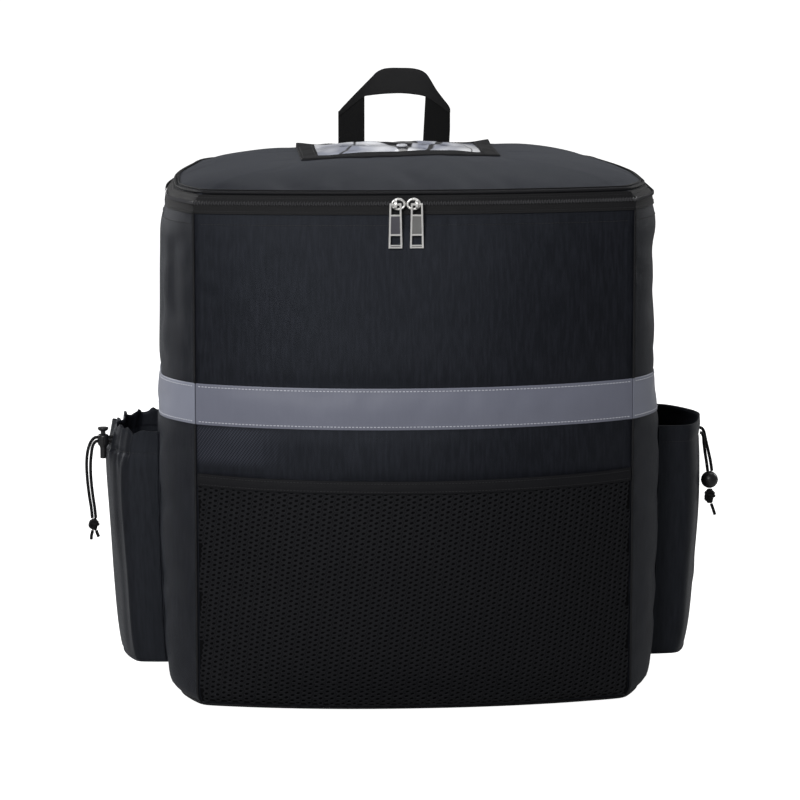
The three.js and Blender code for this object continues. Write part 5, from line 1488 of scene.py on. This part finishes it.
def window():
    cx, cy = -6.5, 10.0
    half_w, half_l, border = 90.5, 59.0, 16.0

    nx, ny = int(half_w / 2), int(half_l / 2)
    x0 = np.concatenate([np.linspace(-half_w, half_w, nx + 1)[:-1], np.full(ny, half_w),
                         np.linspace(half_w, -half_w, nx + 1)[:-1], np.full(ny, -half_w)])
    y0 = np.concatenate([np.full(nx, -half_l), np.linspace(-half_l, half_l, ny + 1)[:-1],
                         np.full(nx, half_l), np.linspace(half_l, -half_l, ny + 1)[:-1]])
    rows = []
    insets = [0.0, 0.25, 1.0, 2.5, 4.5, 7.0, 9.5, 12.0, 14.0, 15.2, 15.8, 16.0]
    lifts = [0.35, 1.1, 1.6, 1.45, 1.25, 1.4, 1.55, 1.5, 1.35, 1.75, 1.5, 0.6]
    for inset, lift in zip(insets, lifts):
        w, l = half_w - inset, half_l - inset
        x = cx + x0 * (w / half_w)
        y = cy + y0 * (l / half_l)
        wobble = 0.25 * wave_noise(x, y, 91, 30.0)
        for corner in (-1, 1):
            curl = np.exp(-((x - cx - corner * half_w) / 13.0) ** 2 - ((y - cy - half_l) / 16.0) ** 2)
            wobble = wobble + 3.2 * curl * min(1, lift)
        rows.append(np.stack([x, y, lid_top(x, y) + lift + 0.1 + wobble * min(1, lift)], -1))
    outer = np.array(rows)
    inner = outer.copy()
    inner[..., 2] = np.maximum(lid_top(inner[..., 0], inner[..., 1]) + 0.25, outer[..., 2] - 2.2)
    pile = Pile()
    pile.wall(outer, 1.0, closed=True, inner=inner, uv=outer[..., :2] * MILLIMETRE)
    pile.finish("window_border", HEM, node="id_window_frame", slot="window_frame", smooth_angle=50)
    threads = Pile()
    for inset in (2.6, 13.6):
        w, l = half_w - inset, half_l - inset
        x = np.concatenate([cx + x0 * (w / half_w), [cx + x0[0] * (w / half_w)]])
        y = np.concatenate([cy + y0 * (l / half_l), [cy + y0[0] * (l / half_l)]])
        p = np.stack([x, y, lid_top(x, y) + 1.75], -1)
        stitch_row(threads, (p, np.broadcast_to([0, 0, 1.0], p.shape)), 2.0, 2.9, 0.26)
    threads.finish("window_stitches", DARK_THREAD, slot="window_frame")

    w, l = half_w - border - TOUCH, half_l - border - TOUCH
    sx, sy = np.meshgrid(np.linspace(-1, 1, 100), np.linspace(-1, 1, 64))
    x, y = cx + sx * w, cy + sy * l
    dome = (1 - sx ** 2) * (1 - sy ** 4)
    edge = np.minimum(1, 6 * np.minimum(1 - np.abs(sx), 1 - np.abs(sy)))
    folds = 0.75 * np.sin((x * 0.9 + y * 2.1) / 13.0 + 1.4 * np.sin(x / 23.0)) + 0.5 * wave_noise(x, y, 97, 26.0)
    z = lid_top(x, y) + TOUCH + 3.4 * dome + 0.9 * folds * edge * (0.25 + 0.75 * dome)
    lift_corner = np.exp(-((sx + 1) / 0.12) ** 2 - ((sy - 1) / 0.25) ** 2)
    z = np.maximum(z, lid_top(x, y) + 0.35) + 1.6 * lift_corner
    outer = np.stack([x, y, z + 0.5], -1)
    pile = Pile()
    pile.wall(outer, 0.4, uv=outer[..., :2] * MILLIMETRE)
    pile.finish("window_clear_sheet", FILM, node="id_window_film", slot="window_film", smooth_angle=60)
    x, y = cx + 3.0, cy - 28.0
    sxs, sys_ = (x - cx) / w, (y - cy) / l
    seat = float(lid_top(x, y) + TOUCH + 3.4 * (1 - sxs ** 2) * (1 - sys_ ** 4)) + 1.7
    profile = rounded_profile([(0, -0.9), (4.3, -0.9), (4.9, -0.3), (5.0, 0.6), (4.3, 1.35), (3.0, 1.6), (2.7, 1.25),
                               (1.6, 1.3), (0, 1.5)], 0.35)
    pile = Pile()
    pile.add(*turned(profile, (x, y, seat)))
    pile.finish("window_snap", STUD, node="id_window_stud", slot="stud", smooth_angle=40)


def bar(pile, start, end, width, thickness, across=(1, 0, 0), round_share=0.35):
    """A straight bar with softened edges, from start to end. Its width runs along across."""
    start, end = np.asarray(start, float), np.asarray(end, float)
    along = unit(end - start)
    side = np.asarray(across, float)
    side = unit(side - along * (side @ along))
    out = np.cross(side, along)
    w, t = width / 2, thickness / 2
    r = min(w, t) * round_share
    section = np.array([[-w, -t + r], [-w + r, -t], [w - r, -t], [w, -t + r], [w, t - r], [w - r, t], [-w + r, t],
                        [-w, t - r]])
    ends = [(start, 0.82), (start + along * r, 1.0), (end - along * r, 1.0), (end, 0.82)]
    rings = []
    for p, scale in ends:
        shrink = section * ([1, 1] if scale == 1.0 else [(w - r) / w, (t - r) / t])
        rings.append(p + shrink[:, :1] * side + shrink[:, 1:] * out)
    pile.add(rings, grid_quads(4, 8, True).tolist() + [list(range(8))[::-1], list(range(24, 32))])


HINGE_Y = -162.22
HINGE_Z = 460.0
# Share of the size, and depth, of the rings of a slider's sunk floor
SLIDER_FLOOR = ((0.02, 0.95), (0.6, 1.0), (0.8, 0.75), (0.86, 0.3), (0.92, 0.9), (0.97, 1.9), (0.9, 3.0), (0.02, 3.0))


def zip_hardware():
    for name, x0, towards in (("left", -19.2, 1), ("right", -0.3, -1)):
        cx = x0 + towards * 2.7
        front = HINGE_Y + 1.76
        # The slider's sunk floor, in the painted shadow material.
        pile = Pile()
        a = np.linspace(0, 2 * math.pi, 49)[:-1]
        rows = [[cx + 6.3 * scale * np.cos(a), np.full_like(a, front + y), HINGE_Z + 5.2 * scale * np.sin(a)]
                for scale, y in SLIDER_FLOOR]
        pile.add(np.moveaxis(rows[::-1], 1, -1), grid_quads(len(rows), 48, True).tolist())
        pile.finish("slider_floor_" + name, SLIDER_PAINTED_SHADOW, slot="zip_metal", smooth_angle=50)
        pile = Pile()
        ring = np.stack([cx + 5.45 * np.cos(a), np.full_like(a, front + 0.55), HINGE_Z + 4.4 * np.sin(a)], -1)
        pile.tube(ring, 1.1, 12, closed=True)
        bail_a = np.linspace(-0.5 * math.pi, 0.5 * math.pi, 17)
        arch = np.stack([np.full_like(bail_a, x0), front + 0.9 - 4.25 * np.cos(bail_a),
                         HINGE_Z + 3.75 * np.sin(bail_a)], -1)
        arch[:, 1] = np.maximum(arch[:, 1], HINGE_Y - 2.7)
        pile.tube(arch, 1.3, 10, up=(1, 0, 0), flat=1.0, radii=np.full(17, 0.8))
        pile.tube(arch + [0.75, 0, 0], 0.62, 8)
        pile.tube(arch - [0.75, 0, 0], 0.62, 8)
        for dz in (3.7, -3.7):
            pile.add(*turned_about_y([(0, 0.9), (0.9, 0.8), (1.1, 0.2), (0.9, -0.2), (0, -0.3)],
                                     (x0, front + 0.6, HINGE_Z + dz)))
        pile.add(*turned_about_y([(0, 1.0), (0.6, 0.95), (0.95, 0.6), (1.05, 0.0), (0, -0.1)],
                                 (cx - towards * 1.9, front + 0.9, HINGE_Z + 1.0)))
        pile.finish("slider_body_" + name, METAL, node="zip_slider_" + name, slot="zip_metal", smooth_angle=50)
        pull(name, x0)


def pull(name, x0):
    """A cast pull: two rails that widen downwards, crossbars, a sunk panel and a square hole near its end."""
    y = HINGE_Y
    top, bottom = HINGE_Z + 1.0, HINGE_Z - 39.0
    half_top, half_bottom = 5.3, 6.2

    def half(z):
        return half_top + (half_bottom - half_top) * (top - z) / (top - bottom)

    pile = Pile()
    for sign in (-1, 1):
        bar(pile, (x0 + sign * (half(top) - 0.9), y, top), (x0 + sign * (half(bottom) - 0.9), y, bottom), 1.7, 2.0)
    bars = ((HINGE_Z, 2.0), (HINGE_Z - 9.8, 1.5), (HINGE_Z - 27.0, 1.6), (HINGE_Z - 36.4, 1.1), (HINGE_Z - 38.3, 1.2))
    for z, height in bars:
        bar(pile, (x0 - half(z) + 1.0, y, z), (x0 + half(z) - 1.0, y, z), height, 1.9 if z < HINGE_Z else 1.8,
            across=(0, 0, 1))
    pile.finish("pull_frame_" + name, METAL, node="zip_pull_" + name, slot="zip_metal", body="pull_" + name,
                smooth_angle=35)
    pile = Pile()
    bar(pile, (x0, y + 0.15, HINGE_Z - 10.2), (x0, y + 0.15, HINGE_Z - 26.6), 2 * half(HINGE_Z - 18) - 3.0, 1.1)
    bar(pile, (x0 - half(bottom) + 1.4, y + 0.2, HINGE_Z - 37.4), (x0 + half(bottom) - 1.4, y + 0.2, HINGE_Z - 37.4),
        1.4, 0.9, across=(0, 0, 1))
    pile.finish("pull_panel_" + name, PULL_LEFT if name == "left" else PULL_RIGHT, slot="zip_metal",
                body="pull_" + name, smooth_angle=35)


# Shoulder straps

STRAP_ROWS = np.array([[0.94, 0.0, 0.27, 1.0, 0.5], [0.9, 0.06, 0.27, 1.0, 0.8], [0.84, 0.48, 0.275, 1.0, 1.0],
                       [0.74, 0.88, 0.29, 1.0, 1.0], [0.62, 1.0, 0.325, 1.0, 1.0], [0.5, 0.88, 0.375, 0.97, 1.0],
                       [0.4, 0.62, 0.43, 0.92, 1.0], [0.325, 0.36, 0.48, 0.8, 0.9], [0.3, 0.28, 0.5, 0.55, 0.5],])


def strap_line(side):
    """Middle line, width and thickness of a padded strap at even steps from its top to its lower end."""
    back = HALF_DEPTH + TOUCH
    points = np.stack([side * STRAP_ROWS[:, 2] * SEAM_HALF_WIDTH,
                       back + STRAP_ROWS[:, 4] * 5.0 + STRAP_ROWS[:, 1] * 44.0, STRAP_ROWS[:, 0] * BODY_HEIGHT], 1)
    path, _ = curve_through(points, 90)
    share = np.interp(path[:, 2][::-1], points[:, 2][::-1], np.arange(len(points))[::-1])[::-1]
    width = np.interp(share, np.arange(len(points)), STRAP_ROWS[:, 3]) * 62.0
    thick = np.interp(share, np.arange(len(points)), STRAP_ROWS[:, 4]) * 10.0
    return path, width, thick


def straps():
    for name, side in (("right", 1), ("left", -1)):
        path, width, thick = strap_line(side)
        along = unit(np.gradient(path, axis=0))
        across = unit(np.stack([-along[:, 2], 0 * along[:, 0], along[:, 0]], 1))
        out = np.cross(across, along)
        u = np.linspace(-1, 1, 27)
        crown = (1 - np.abs(u) ** 3.2) ** 0.6
        seam = 0.16 * bell(np.abs(u) - 0.84, 0.04)
        crown = np.clip(crown - seam, 0.02, 1)
        wobble = 0.06 * wave_noise(u[None, :] * 30, path[:, 2:3], 41, 60.0)
        pile = Pile()
        front = path[:, None] - across[:, None] * (u[None, :, None] * width[:, None, None] / 2)
        face = front + out[:, None] * ((crown[None, :] + wobble) * thick[:, None] / 2)[..., None]
        rear = front - out[:, None] * ((crown[None, :] * 0.92) * thick[:, None] / 2)[..., None]
        pile.wall(face, 1.0, inner=rear)
        for sign in (-1, 1):
            edge = path - across * (sign * width[:, None] / 2)
            pile.tube(edge, 1.5, 8, flat=1.1, up=out)
        pad = pile.finish("strap_pad_" + name, STRAP_CLOTH, node="shoulder_strap_" + name, slot="body_fabric",
                          smooth_angle=60)
        strap_hardware(name, side, path, along)


def strap_hardware(name, side, path, along):
    """Ladder buckle at the strap's lower end, and the webbing that runs from it down to the base."""
    back = HALF_DEPTH + TOUCH
    upper = np.array([side * 0.54 * SEAM_HALF_WIDTH, back + 0.9 + 0.2 * 44.0, 0.245 * BODY_HEIGHT])
    lower = np.array([side * 0.7 * SEAM_HALF_WIDTH, back + 0.9, 0.075 * BODY_HEIGHT])
    down = unit(lower - upper)
    across = unit([1.0, 0, 0] - down * down[0])
    out = np.cross(across, down)
    pile = Pile()
    for s in (-1, 0, 1):
        middle = upper + down * (s * 11.0)
        bar(pile, middle - across * 16.5, middle + across * 16.5, 3.8, 2.9, across=down, round_share=0.5)
    for s in (-1, 1):
        middle = upper + across * (s * 15.2)
        bar(pile, middle - down * 12.9, middle + down * 12.9, 3.4, 2.9, across=across, round_share=0.5)
    pile.finish("buckle_" + name, PLASTIC, node="strap_buckle_" + name, slot="black_plastic", smooth_angle=40)

    def ribbon(points, width, thickness):
        p, _ = curve_through(points, 60)
        u = np.linspace(-1, 1, 9)
        ahead = unit(np.gradient(p, axis=0))
        wide = unit(across - ahead * (ahead @ across)[:, None])
        half = np.cross(wide, ahead)[:, None] * (thickness / 2 * (1 - 0.45 * np.abs(u) ** 8))[None, :, None]
        middle = p[:, None] - wide[:, None] * (u[None, :, None] * width / 2)
        pile = Pile()
        pile.wall(middle + half, 1.0, inner=middle - half)
        return pile

    def lean(length, lift):
        return upper + down * length + out * lift

    pile = ribbon([path[-1] - along[-1] * 6 + out * 1.5, lean(-17.5, 2.5), lean(-14.2, 2.2), lean(-8.5, 0.4),
                   lean(-8.7, -1.2), lean(-15.5, -2.6), lean(-19, -2.6)], 25, 1.7)
    pile.finish("strap_tongue_" + name, WEBBING, slot="webbing")
    pile = ribbon([lean(19, 2.6), lean(15.5, 2.6), lean(8.7, 1.2), lean(8.5, -0.4), lean(14.2, -2.4), lean(22, -2.0),
                   lean(40, -0.9), lower - down * 12, lower, lower + [side * 2.0, 0, -7.0]], 25, 1.7)
    pile.finish("strap_web_" + name, WEBBING, node="strap_webbing_" + name, slot="webbing")


settle_body()
settle_lid()
body_cloth()
lid_cloth()
pipings()
bands()
zip_parts()
front_pocket()
side_pockets()
carry_handle()
window()
zip_hardware()
straps()
